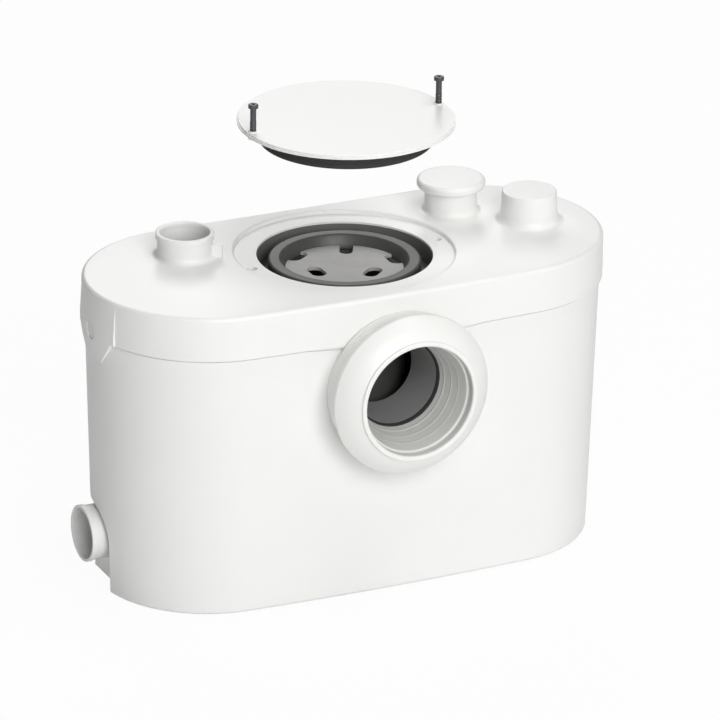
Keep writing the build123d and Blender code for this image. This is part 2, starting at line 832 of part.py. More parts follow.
# Clamp flange of the pan inlet: domed face and grooved side
with BuildPart() as pan_flange:
    back_out = pan_boss_out + free_gap
    collar_out = pan_neck_out + sleeve_collar_thickness + free_gap
    with BuildSketch(pan_plane):
        with BuildLine():
            TangentArc((flange_nose_out, flange_nose_r), (flange_edge_out, flange_front_r), tangent=(0, 1))
            Polyline(
                (flange_edge_out, flange_front_r),
                (back_out, flange_back_r),
                (back_out, pan_neck_r + free_gap),
                (collar_out, pan_neck_r + free_gap),
                (collar_out, sleeve_lip_r + free_gap),
                (flange_nose_out, sleeve_lip_r + free_gap),
                (flange_nose_out, flange_nose_r),
            )
        make_face()
    revolve(axis=pan_axis)
    for index in range(flange_groove_count):
        groove_share = (index + 1) / (flange_groove_count + 1)
        groove_out = back_out + (flange_edge_out - back_out) * groove_share
        groove_r = flange_back_r + (flange_front_r - flange_back_r) * groove_share
        groove = turned(
            pan_plane,
            pan_axis,
            [
                (groove_out - flange_groove_width, groove_r + flange_groove_depth),
                (groove_out, groove_r - flange_groove_depth),
                (groove_out + flange_groove_width, groove_r + flange_groove_depth),
            ],
        )
        cut(groove)
save(pan_flange.part, "pan_flange")

# Pan sleeve: lipped mouth, then a taper with sealing ribs, and a collar held by the flange
mouth_end_out = sleeve_mouth_out - sleeve_mouth_depth
sleeve_points = [
    (sleeve_mouth_out, sleeve_mouth_r),
    (sleeve_mouth_out, sleeve_lip_r),
    (pan_neck_out + sleeve_collar_thickness, sleeve_lip_r),
    (pan_neck_out + sleeve_collar_thickness, pan_neck_r),
    (pan_neck_out, pan_neck_r),
    (pan_neck_out, pan_neck_bore_r - free_gap),
    (sleeve_back_out, pan_neck_bore_r - free_gap),
    (sleeve_back_out, sleeve_end_r),
]
rib_pitch = (mouth_end_out - sleeve_back_out) / sleeve_rib_count
for index in reversed(range(sleeve_rib_count)):
    rib_share = index / (sleeve_rib_count - 1)
    rib_out = mouth_end_out - rib_pitch * index
    rib_r = sleeve_rib_front_r + (sleeve_rib_end_r - sleeve_rib_front_r) * rib_share
    root_r = sleeve_front_r + (sleeve_end_r - sleeve_front_r) * rib_share
    sleeve_points += [
        (rib_out - sleeve_rib_thickness - sleeve_rib_slope, root_r),
        (rib_out - sleeve_rib_thickness - sleeve_rib_slope, rib_r),
        (rib_out - sleeve_rib_slope, rib_r),
        (rib_out, root_r),
    ]
sleeve_points += [(mouth_end_out, sleeve_mouth_r)]
with BuildPart() as pan_sleeve:
    add(turned(pan_plane, pan_axis, sleeve_points))
save(pan_sleeve.part, "pan_sleeve")

# Seal and collar behind the sleeve
with BuildPart() as pan_seal:
    seal_out = pan_lip_out + pan_lip_thickness + collar_flange_thickness
    add(front_disc(seal_out + pan_seal_thickness, seal_out, pan_neck_bore_r - free_gap))
    cut(front_disc(seal_out + pan_seal_thickness, seal_out, pan_seal_r))
save(pan_seal.part, "pan_seal")

with BuildPart() as pan_collar:
    flange_out = pan_lip_out + pan_lip_thickness
    collar_points = [
        (seal_out, collar_r),
        (seal_out, pan_neck_bore_r - free_gap),
        (flange_out, pan_neck_bore_r - free_gap),
        (flange_out, collar_r + collar_wall),
        (collar_inner_out, collar_end_r + collar_wall),
        (collar_inner_out, collar_end_r),
    ]
    add(turned(pan_plane, pan_axis, collar_points))
save(pan_collar.part, "pan_collar")

# Access cover: stepped disc with a plug ring, collars and nubs at its two screws
with BuildPart() as access_cover:
    add(disc(0, 0, cover_under_z, cover_top_z - cover_rim_drop, cover_r))
    add(disc(0, 0, cover_under_z, cover_top_z, cover_r - cover_rim_step))
    add(ring(0, 0, cover_top_z - plug_depth, cover_under_z, plug_r, plug_r - plug_wall))
    for side in ends:
        screw_x = side * cover_screw_x
        add(disc(screw_x, 0, cover_under_z - cover_nub_height, cover_under_z, cover_nub_r))
        add(disc(screw_x, 0, cover_top_z, cover_top_z + cover_collar_height, cover_collar_r))
        hole_r = cover_screw_r + seat_gap
        bottom_z = cover_under_z - cover_nub_height
        cut(disc(screw_x, 0, bottom_z, cover_top_z + cover_collar_height, hole_r))
save(access_cover.part, "access_cover")

with BuildPart() as cover_seal:
    seal_z = cover_top_z - plug_depth + seal_rise
    band_step = seal_band / 5
    seal_points = [
        (plug_r, seal_z),
        (seal_r - seal_groove_depth, seal_z),
        (seal_r, seal_z + band_step / 2),
        (seal_r, seal_z + band_step),
        (seal_r - seal_groove_depth, seal_z + band_step * 2),
        (seal_r, seal_z + band_step * 3),
        (seal_r, seal_z + band_step * 4),
        (seal_r - seal_groove_depth, seal_z + seal_band),
        (plug_r, seal_z + seal_band),
    ]
    add(turned(*upright(0, 0), seal_points))
save(cover_seal.part, "cover_seal")


def cover_screw(side):
    """Captive cover screw with a crossed head, drawn out of the cover."""
    screw_x = side * cover_screw_x
    with BuildPart() as solid:
        add(disc(screw_x, 0, cover_screw_z - cover_screw_length, cover_screw_z, cover_screw_r))
        add(disc(screw_x, 0, cover_screw_z, cover_screw_z + cover_screw_head_height, cover_screw_head_r))
        chamfer(solid.edges().group_by(Axis.Z)[0], cover_screw_r / 3)
        fillet(solid.edges().group_by(Axis.Z)[-1], cover_screw_head_height / 4)
        with BuildSketch(Plane.XY.offset(cover_screw_z + cover_screw_head_height)):
            with Locations((screw_x, 0)):
                Rectangle(cover_screw_head_r, cover_screw_slot_width)
                Rectangle(cover_screw_slot_width, cover_screw_head_r)
        extrude(amount=-cover_screw_slot_depth, mode=Mode.SUBTRACT)
    return solid.part


cover_screw_left = cover_screw(-1)
save(cover_screw_left, "cover_screw_left")
cover_screw_right = cover_screw(1)
save(cover_screw_right, "cover_screw_right")

# Motor can: broad ring under the opening, flared cup, flange with ears and long can
with BuildPart() as motor_can:
    can_points = [
        (can_bore_r, plate_z),
        (can_mouth_r, can_ring_z - can_ring_edge),
        (can_mouth_r + can_ring_edge, can_ring_z),
        (can_ring_r - can_ring_edge, can_ring_z),
        (can_ring_r, can_ring_z - can_ring_edge),
        (can_ring_r, can_flange_z),
        (can_flange_r, can_flange_z),
        (can_flange_r, can_flange_under_z),
        (can_ring_r - can_ring_wall, can_flange_under_z),
        (can_ring_r - can_ring_wall, can_ring_z - can_ring_wall),
        (can_mouth_r + can_wall, can_ring_z - can_ring_wall),
        (can_r, plate_z),
        (can_r, can_bottom_z),
        (can_bore_r, can_bottom_z),
        (can_bore_r, plate_under_z - can_ledge_height - can_bore_r + can_ledge_r),
        (can_ledge_r, plate_under_z - can_ledge_height),
        (can_ledge_r, plate_under_z),
        (can_bore_r, plate_under_z),
    ]
    add(turned(*upright(0, 0), can_points))
    for x, y in can_ear_places:
        outward = Plane(origin=(x, y, can_flange_under_z), x_dir=(x, y, 0))
        with BuildSketch(outward):
            Circle(can_ear_half_width)
            with Locations(((can_ring_r - can_ear_pitch_r) / 2, 0)):
                Rectangle(can_ear_pitch_r - can_ring_r, can_ear_half_width * 2)
            Circle(can_screw_r + seat_gap, mode=Mode.SUBTRACT)
        extrude(amount=can_flange_thickness)
save(motor_can.part, "motor_can")

with BuildPart() as can_screws:
    for x, y in can_ear_places:
        add(disc(x, y, can_flange_under_z - can_screw_head_height, can_flange_under_z, can_screw_head_r))
        add(disc(x, y, can_flange_under_z, can_flange_under_z + can_screw_length, can_screw_r))
save(can_screws.part, "can_screws")

# End plate: slotted disc, notched at its rim, with the hub of the upper bearing
with BuildPart() as end_plate:
    plate_r = can_bore_r - seat_gap
    add(disc(0, 0, plate_under_z, plate_z, plate_r))
    add(disc(0, 0, upper_bearing_z, plate_under_z, bearing_hub_r))
    cut(disc(0, 0, upper_bearing_z, shaft_top_z, bearing_r + running_gap))
    with BuildSketch(Plane.XY.offset(plate_under_z)):
        for angle in plate_slot_angles:
            with PolarLocations(plate_slot_pitch_r, 1, start_angle=angle):
                SlotOverall(plate_slot_length, plate_slot_width, rotation=90)
        for angle in plate_rim_slot_angles:
            with PolarLocations(plate_rim_slot_pitch_r, 1, start_angle=angle):
                SlotOverall(plate_slot_length, plate_slot_width, rotation=90)
        notch_length = plate_r + plate_notch_width - plate_notch_r
        with PolarLocations(plate_notch_r + notch_length / 2, 1, start_angle=plate_notch_angle):
            SlotOverall(notch_length, plate_notch_width)
    extrude(amount=plate_thickness, mode=Mode.SUBTRACT)
save(end_plate.part, "end_plate")


def bearing(low_z):
    """Ball bearing with the shield grooves of its two faces."""
    with BuildPart() as solid:
        add(ring(0, 0, low_z, low_z + bearing_width, bearing_r, shaft_r + running_gap))
        groove_r = bearing_groove_r + bearing_groove_width / 2
        inner_r = bearing_groove_r - bearing_groove_width / 2
        cut(ring(0, 0, low_z, low_z + bearing_groove_depth, groove_r, inner_r))
        top_z = low_z + bearing_width
        cut(ring(0, 0, top_z - bearing_groove_depth, top_z, groove_r, inner_r))
    return solid.part


save(bearing(upper_bearing_z), "upper_bearing")
save(bearing(shield_top_z), "lower_bearing")

# Lower shield closes the can and holds the lower bearing and the shaft seal
with BuildPart() as motor_shield:
    seal_bore_r = shaft_seal_r + running_gap
    flange_z = can_bottom_z - shield_flange_thickness
    add(disc(0, 0, flange_z, can_bottom_z, can_r))
    add(disc(0, 0, can_bottom_z, shield_top_z, can_bore_r - seat_gap))
    add(disc(0, 0, shield_top_z, shield_top_z + bearing_width, bearing_hub_r))
    cut(disc(0, 0, shield_top_z, shield_top_z + bearing_width, bearing_r + running_gap))
    cut(disc(0, 0, flange_z, flange_z + shaft_seal_height, seal_bore_r))
    cut(disc(0, 0, flange_z, shield_top_z, shaft_r + free_gap))
save(motor_shield.part, "motor_shield")

with BuildPart() as shaft_seal:
    add(ring(0, 0, flange_z, flange_z + shaft_seal_height, shaft_seal_r, shaft_r + running_gap))
save(shaft_seal.part, "shaft_seal")

# Motor shaft from the upper bearing down to the impeller
with BuildPart() as motor_shaft:
    add(disc(0, 0, shaft_bottom_z, shaft_top_z, shaft_r))
    chamfer(motor_shaft.edges().group_by(Axis.Z)[0], shaft_r / 5)
    chamfer(motor_shaft.edges().group_by(Axis.Z)[-1], shaft_r / 5)
save(motor_shaft.part, "motor_shaft")

# Rotor, slotted stator and windings
with BuildPart() as rotor:
    add(ring(0, 0, stack_bottom_z, stack_top_z, rotor_r, shaft_r + running_gap))
save(rotor.part, "rotor")

with BuildPart() as stator:
    with BuildSketch(Plane.XY.offset(stack_bottom_z)):
        Circle(can_bore_r - seat_gap)
        Circle(stator_bore_r, mode=Mode.SUBTRACT)
        with PolarLocations(stator_slot_pitch_r, stator_slot_count):
            SlotOverall(stator_slot_length, stator_slot_width, mode=Mode.SUBTRACT)
    extrude(amount=stack_height)
save(stator.part, "stator")

with BuildPart() as windings:
    for low_z in (stack_bottom_z - winding_height, stack_top_z):
        with BuildPart(mode=Mode.PRIVATE) as end_turn:
            add(ring(0, 0, low_z, low_z + winding_height, winding_outer_r, winding_inner_r))
            chamfer(end_turn.edges(), winding_edge)
        add(end_turn.part)
    with BuildSketch(Plane.XY.offset(stack_bottom_z - winding_height / 2)):
        with PolarLocations(stator_slot_pitch_r, stator_slot_count):
            SlotOverall(stator_slot_length - free_gap * 2, stator_slot_width - free_gap * 2)
    extrude(amount=stack_height + winding_height)
save(windings.part, "windings")

# Macerator blade: two bevelled arms on a hub
with BuildPart() as blade:
    with BuildSketch(Plane.XY.offset(blade_z)):
        with PolarLocations(blade_arm_r / 2, blade_arm_count):
            Rectangle(blade_arm_r, blade_arm_width)
    extrude(amount=blade_arm_thickness)
    long_edges = blade.edges().filter_by(Axis.X).group_by(Axis.Z)[-1]
    chamfer(long_edges, blade_bevel)
    add(disc(0, 0, blade_z, blade_z + blade_hub_height, blade_hub_r))
    cut(disc(0, 0, blade_z, blade_z + blade_hub_height, shaft_r + running_gap))
save(blade.part, "blade")

# Basket: slotted cone open at the top, round the blade
with BuildPart() as basket:
    basket_points = [
        (basket_hole_r, basket_z),
        (basket_foot_r, basket_z),
        (basket_top_r, basket_top_z),
        (basket_top_r - basket_wall, basket_top_z),
        (basket_foot_r - basket_wall, basket_floor_z),
        (basket_hole_r, basket_floor_z),
    ]
    add(turned(*upright(0, 0), basket_points))
    slot_z = basket_z + basket_slot_foot + basket_slot_height / 2
    slot_reach = basket_top_r - basket_foot_r + basket_wall * 2
    with Locations((0, 0, slot_z)):
        with PolarLocations((basket_foot_r + basket_top_r) / 2, basket_slot_count):
            Box(slot_reach, basket_slot_width, basket_slot_height, mode=Mode.SUBTRACT)
    for x, y in pump_screw_places:
        cut(disc(x, y, basket_z, basket_floor_z, pump_screw_r + seat_gap))
save(basket.part, "basket")

# Pump body with its tangential outlet, cover and impeller
with BuildPart() as pump_body:
    add(disc(0, 0, pump_bottom_z, pump_top_z, pump_r))
    add(end_disc(-1, 0, pump_stub_reach, outlet_y, pipe_z, pipe_r))
    nose_x = pump_stub_reach + pump_nose_length
    nose_r = pipe_bore_r - seat_gap
    add(end_disc(-1, pump_stub_reach, nose_x, outlet_y, pipe_z, nose_r))
    cut(disc(0, 0, pump_bottom_z + pump_floor, pump_top_z, pump_bore_r))
    cut(end_disc(-1, 0, nose_x, outlet_y, pipe_z, nose_r - pump_nose_wall))
    pilot_z = basket_floor_z - pump_screw_length
    for x, y in pump_screw_places:
        cut(disc(x, y, pilot_z, pump_top_z, pump_screw_r + running_gap))
save(pump_body.part, "pump_body")

with BuildPart() as pump_cover:
    add(ring(0, 0, pump_top_z, pump_cover_z, pump_r, pump_eye_r))
    for x, y in pump_screw_places:
        cut(disc(x, y, pump_top_z, pump_cover_z, pump_screw_r + seat_gap))
save(pump_cover.part, "pump_cover")

with BuildPart() as pump_screws:
    for x, y in pump_screw_places:
        add(disc(x, y, basket_floor_z, basket_floor_z + pump_screw_head_height, pump_screw_head_r))
        add(disc(x, y, pilot_z, basket_floor_z, pump_screw_r))
save(pump_screws.part, "pump_screws")

with BuildPart() as impeller:
    hub_top_z = impeller_z + impeller_back + impeller_blade_height
    add(disc(0, 0, impeller_z, impeller_z + impeller_back, impeller_r))
    with BuildSketch(Plane.XY.offset(impeller_z + impeller_back)):
        with PolarLocations(impeller_r / 2, impeller_blade_count):
            Rectangle(impeller_r, impeller_blade_thickness)
        Circle(impeller_r, mode=Mode.INTERSECT)
        Circle(impeller_hub_r)
    extrude(amount=impeller_blade_height)
    cut(disc(0, 0, impeller_z, hub_top_z, shaft_r + running_gap))
save(impeller.part, "impeller")

# Discharge pipe: along the floor, then up to the non-return valve
with BuildPart() as discharge_pipe:
    with BuildLine(Plane.XZ.offset(-outlet_y)) as pipe_route:
        FilletPolyline(
            (-pump_stub_reach - seat_gap, pipe_z),
            (outlet_x, pipe_z),
            (outlet_x, valve_socket_z - seat_gap),
            radius=pipe_bend_r,
        )
    with BuildSketch(Plane(origin=pipe_route.line @ 0, z_dir=pipe_route.line % 0)):
        Circle(pipe_r)
        Circle(pipe_bore_r, mode=Mode.SUBTRACT)
    sweep()
save(discharge_pipe.part, "discharge_pipe")

# Non-return valve: socket for the pipe, seat, chamber with hinge lugs, grip on the lid's tail
valve_hinge_x = outlet_x + flap_hinge_reach
valve_hinge_z = valve_seat_z + seat_gap + flap_hinge_rise
valve_hinge = Plane(origin=(valve_hinge_x, outlet_y, valve_hinge_z), x_dir=(-1, 0, 0))
with BuildPart() as valve_body:
    grip_r = outlet_neck_r + seat_gap
    socket_r = pipe_r + seat_gap
    valve_points = [
        (socket_r, valve_bottom_z),
        (socket_r + valve_wall, valve_bottom_z),
        (socket_r + valve_wall, valve_socket_z),
        (valve_r, valve_seat_z - valve_wall),
        (valve_r, outlet_tail_z - valve_wall),
        (grip_r + valve_wall, outlet_tail_z),
        (grip_r + valve_wall, outlet_tail_z + valve_grip),
        (grip_r, outlet_tail_z + valve_grip),
        (grip_r, outlet_tail_z),
        (valve_chamber_r, outlet_tail_z),
        (valve_chamber_r, valve_seat_z),
        (pipe_bore_r, valve_seat_z),
        (pipe_bore_r, valve_socket_z),
        (socket_r, valve_socket_z),
    ]
    add(turned(*upright(outlet_x, outlet_y), valve_points))
    add(hinge_lugs(valve_hinge, flap_lug_tail))
save(valve_body.part, "valve_body")

with BuildPart() as discharge_flap:
    add(hinged_flap(valve_hinge, flap_r, flap_hinge_reach))
save(discharge_flap.part, "discharge_flap")

pin_half = flap_barrel_half + free_gap + flap_lug_thickness
with BuildPart() as discharge_pin:
    add(cross_pin(valve_hinge_x, outlet_y, valve_hinge_z, pin_half, flap_pin_r))
save(discharge_pin.part, "discharge_pin")

# Side inlet: tube through the pocket wall, lock ring with hinge lugs, flap and pin
with BuildPart() as side_inlet:
    inlet_points = [
        (side_mouth_x, side_bore_r),
        (side_mouth_x, side_lip_r),
        (side_mouth_x - side_lip_length, side_lip_r),
        (side_mouth_x - side_lip_length, side_neck_r),
        (pocket_x + side_shoulder_length, side_neck_r),
        (pocket_x + side_shoulder_length, side_shoulder_r),
        (pocket_x, side_shoulder_r),
        (pocket_x, side_neck_r),
        (side_inner_x, side_neck_r),
        (side_inner_x, side_bore_r),
    ]
    add(turned(side_plane, side_axis, inlet_points))
save(side_inlet.part, "side_inlet")

side_hinge_x = -side_inner_x + seat_gap + flap_hinge_rise
side_hinge_z = side_z + side_hinge_reach
side_hinge = Plane(origin=(side_hinge_x, side_y, side_hinge_z), x_dir=(0, 0, -1), z_dir=(1, 0, 0))
with BuildPart() as side_lock_ring:
    ring_bore_r = side_neck_r + running_gap
    ring_points = [
        (pocket_x - tank_wall, ring_bore_r),
        (pocket_x - tank_wall, side_ring_r),
        (side_inner_x, side_ring_r),
        (side_inner_x, ring_bore_r),
    ]
    add(turned(side_plane, side_axis, ring_points))
    for side in ends:
        inner_y = side_y + side * (flap_barrel_half + free_gap)
        with BuildSketch(Plane.XZ.offset(-inner_y)):
            with Locations((side_hinge_x, side_hinge_z)):
                Circle(flap_lug_r)
            with Locations((side_hinge_x - side_lug_tail / 2, side_hinge_z)):
                Rectangle(side_lug_tail, flap_lug_r * 2)
            with Locations((side_hinge_x, side_hinge_z)):
                Circle(flap_pin_r, mode=Mode.SUBTRACT)
        extrude(amount=-side * flap_lug_thickness)
save(side_lock_ring.part, "side_lock_ring")

with BuildPart() as side_flap:
    add(hinged_flap(side_hinge, side_flap_r, side_hinge_reach))
save(side_flap.part, "side_flap")

with BuildPart() as side_pin:
    add(cross_pin(side_hinge_x, side_y, side_hinge_z, pin_half, flap_pin_r))
save(side_pin.part, "side_pin")

# Vent cap: rounded mushroom head with a plug ring in the stem, over a filter disc
with BuildPart() as vent_cap:
    cap_z = vent_top_z + free_gap
    add(disc(vent_x, vent_y, cap_z, cap_z + vent_cap_height, vent_cap_r))
    fillet(vent_cap.edges(), vent_cap_edge_r)
    cap_plug_r = vent_bore_r - free_gap
    add(ring(vent_x, vent_y, cap_z - vent_plug_depth, cap_z, cap_plug_r, cap_plug_r - vent_plug_wall))
save(vent_cap.part, "vent_cap")

with BuildPart() as vent_filter:
    filter_z = lid_top_z + vent_ledge_height
    add(disc(vent_x, vent_y, filter_z, filter_z + vent_filter_height, vent_bore_r - seat_gap))
save(vent_filter.part, "vent_filter")

# Pressure bell and diaphragm
with BuildPart() as pressure_bell:
    add(disc(dome_x, dome_y, bell_bottom_z, bell_top_z, bell_r))
    add(disc(dome_x, dome_y, bell_flange_z, bell_top_z, switch_r))
    cut(disc(dome_x, dome_y, bell_bottom_z, bell_top_z, bell_bore_r))
save(pressure_bell.part, "pressure_bell")

with BuildPart() as diaphragm:
    add(disc(dome_x, dome_y, bell_top_z, diaphragm_top_z, switch_r))
save(diaphragm.part, "diaphragm")

# Switch case, plunger and microswitch
with BuildPart() as switch_case:
    case_inner_r = switch_r - switch_case_wall
    guide_r = plunger_r + running_gap
    add(ring(dome_x, dome_y, diaphragm_top_z, switch_top_z, switch_r, case_inner_r))
    add(ring(dome_x, dome_y, switch_web_z, switch_web_z + switch_web_thickness, case_inner_r, guide_r))
    add(ring(dome_x, dome_y, switch_top_z - switch_web_thickness, switch_top_z, case_inner_r, guide_r))
    rail_z = switch_web_z + switch_web_thickness
    with BuildSketch(Plane.XY.offset(rail_z)):
        rail_x = (microswitch_length - microswitch_rail) / 2
        with Locations((dome_x - rail_x, dome_y), (dome_x + rail_x, dome_y)):
            Rectangle(microswitch_rail, microswitch_width)
    extrude(amount=microswitch_z - rail_z)
save(switch_case.part, "switch_case")

with BuildPart() as switch_plunger:
    add(disc(dome_x, dome_y, plunger_z, plunger_z + plunger_foot_height, plunger_foot_r))
    add(disc(dome_x, dome_y, plunger_z, plunger_top_z, plunger_r))
save(switch_plunger.part, "switch_plunger")

with BuildPart() as microswitch:
    with BuildSketch(Plane.XY.offset(microswitch_z)):
        with Locations((dome_x, dome_y)):
            Rectangle(microswitch_length, microswitch_width)
    extrude(amount=microswitch_height)
    add(disc(dome_x, dome_y, microswitch_z - microswitch_button_height, microswitch_z, microswitch_button_r))
save(microswitch.part, "microswitch")

# Electrics box under the lid, with its board and capacitor
box_z = lid_under_z - box_height
with BuildPart() as electrics_box:
    with BuildSketch(Plane.XY.offset(box_z)):
        with Locations((box_x, box_y)):
            RectangleRounded(box_length, box_width, box_corner_r)
    extrude(amount=box_height)
    with BuildSketch(Plane.XY.offset(box_z + box_wall)):
        with Locations((box_x, box_y)):
            RectangleRounded(box_length - box_wall * 2, box_width - box_wall * 2, box_corner_r - box_wall)
    extrude(amount=box_height, mode=Mode.SUBTRACT)
    post_x = box_length / 2 - box_wall - board_post_r + free_gap
    post_y = box_width / 2 - box_wall - board_post_r + free_gap
    with BuildSketch(Plane.XY.offset(box_z)):
        with Locations((box_x, box_y)):
            with GridLocations(post_x * 2, post_y * 2, 2, 2):
                Circle(board_post_r)
    extrude(amount=board_rise)
save(electrics_box.part, "electrics_box")

with BuildPart() as control_board:
    board_inset = box_wall + free_gap
    board_length = box_length - board_inset * 2
    board_width = box_width - board_inset * 2
    with BuildSketch(Plane.XY.offset(box_z + board_rise)):
        with Locations((box_x, box_y)):
            RectangleRounded(board_length, board_width, box_corner_r - board_inset)
    extrude(amount=board_thickness)
save(control_board.part, "control_board")

with BuildPart() as capacitor:
    capacitor_z = box_z + box_wall + capacitor_r
    add(cross_pin(box_x, box_y, capacitor_z, capacitor_length / 2, capacitor_r))
    chamfer(capacitor.edges().filter_by(GeomType.CIRCLE), capacitor_edge)
save(capacitor.part, "capacitor")

# Cable gland in the back of the skirt: hexagon, tapered dome and thread, and its nut inside
with BuildPart() as cable_gland:
    hex_y = back_y + gland_hex_length
    add(hexagon_bar(back_y, hex_y, gland_hex_r))
    gland_points = [
        (back_y - lid_wall - gland_nut_length - gland_thread_tail, 0),
        (back_y - lid_wall - gland_nut_length - gland_thread_tail, gland_thread_r),
        (back_y, gland_thread_r),
        (hex_y, gland_dome_r),
        (hex_y + gland_dome_length, gland_dome_end_r),
        (hex_y + gland_dome_length, 0),
    ]
    add(turned(gland_plane, gland_axis, gland_points))
    bore_points = [
        (0, 0),
        (0, gland_bore_r),
        (hex_y + gland_dome_length, gland_bore_r),
        (hex_y + gland_dome_length, 0),
    ]
    cut(turned(gland_plane, gland_axis, bore_points))
save(cable_gland.part, "cable_gland")

with BuildPart() as gland_nut:
    nut_y = back_y - lid_wall
    add(hexagon_bar(nut_y - gland_nut_length, nut_y, gland_hex_r))
    nut_points = [
        (0, 0),
        (0, gland_thread_r + running_gap),
        (back_y, gland_thread_r + running_gap),
        (back_y, 0),
    ]
    cut(turned(gland_plane, gland_axis, nut_points))
save(gland_nut.part, "gland_nut")
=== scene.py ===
"""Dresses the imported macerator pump: finishes, refined shells, trim, floor, light and camera."""

import json
import logging
import math
from dataclasses import dataclass
from enum import Enum
from typing import ClassVar, Iterable, Sequence

import bmesh
import bpy
from mathutils import Matrix, Vector


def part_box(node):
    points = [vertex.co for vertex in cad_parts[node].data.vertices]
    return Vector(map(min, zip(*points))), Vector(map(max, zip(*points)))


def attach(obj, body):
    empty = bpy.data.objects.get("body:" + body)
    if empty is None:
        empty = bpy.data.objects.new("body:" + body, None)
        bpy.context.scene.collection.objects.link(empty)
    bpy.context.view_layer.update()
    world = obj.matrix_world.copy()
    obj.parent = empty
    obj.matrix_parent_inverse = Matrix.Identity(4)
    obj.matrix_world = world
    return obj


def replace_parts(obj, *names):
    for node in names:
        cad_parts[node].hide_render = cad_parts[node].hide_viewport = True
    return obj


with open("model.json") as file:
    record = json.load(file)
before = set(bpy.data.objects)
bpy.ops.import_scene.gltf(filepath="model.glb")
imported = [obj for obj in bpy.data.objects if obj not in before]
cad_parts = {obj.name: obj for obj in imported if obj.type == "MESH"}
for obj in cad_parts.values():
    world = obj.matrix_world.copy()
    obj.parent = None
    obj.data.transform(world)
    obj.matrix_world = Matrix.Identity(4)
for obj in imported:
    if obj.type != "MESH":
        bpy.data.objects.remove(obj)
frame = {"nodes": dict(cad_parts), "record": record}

log = logging.getLogger("pump_scene")
MM = 0.001
SLOW_DETAIL = 3.0
FINE_DETAIL = 2.0
TONE_START = 0.3
TONE_END = 0.7
SUBSURFACE_REACH = (0.004, 0.0035, 0.003)
MERGE_DISTANCE = 0.000004
WELD_DISTANCE = 0.000002
EDGE_ROUNDING_DEGREES = 35.0
EDGE_ROUNDING_STEPS = 2
TURNED_SHARP_DEGREES = 32.0
COPIED_SHARP_DEGREES = 28.0
REPEATED_SHARP_DEGREES = 40.0
CORNER_STEPS = 5
LARGE_TURN_STEPS = 192
MIDDLE_TURN_STEPS = 128
SMALL_TURN_STEPS = 96
RING_STEPS = 160
RING_SECTION_STEPS = 24
THREAD_TURN_STEPS = 28
THREAD_SECTION_STEPS = 4
RIB_SECTION_STEPS = 8
WIRE_CORNER_STEPS = 4
WIRE_SECTION_STEPS = 6
WHITE = (1.0, 1.0, 1.0, 1.0)


class Body(Enum):
    """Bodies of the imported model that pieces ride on."""

    HOUSING = "housing"
    COVER = "cover"
    LEFT_SCREW = "left_screw"
    RIGHT_SCREW = "right_screw"
    ROTOR = "motor_rotor"
    OUTLET_FLAP = "outlet_flap"
    INLET_FLAP = "inlet_flap"
    PLUNGER = "plunger"
    VENT = "vent"


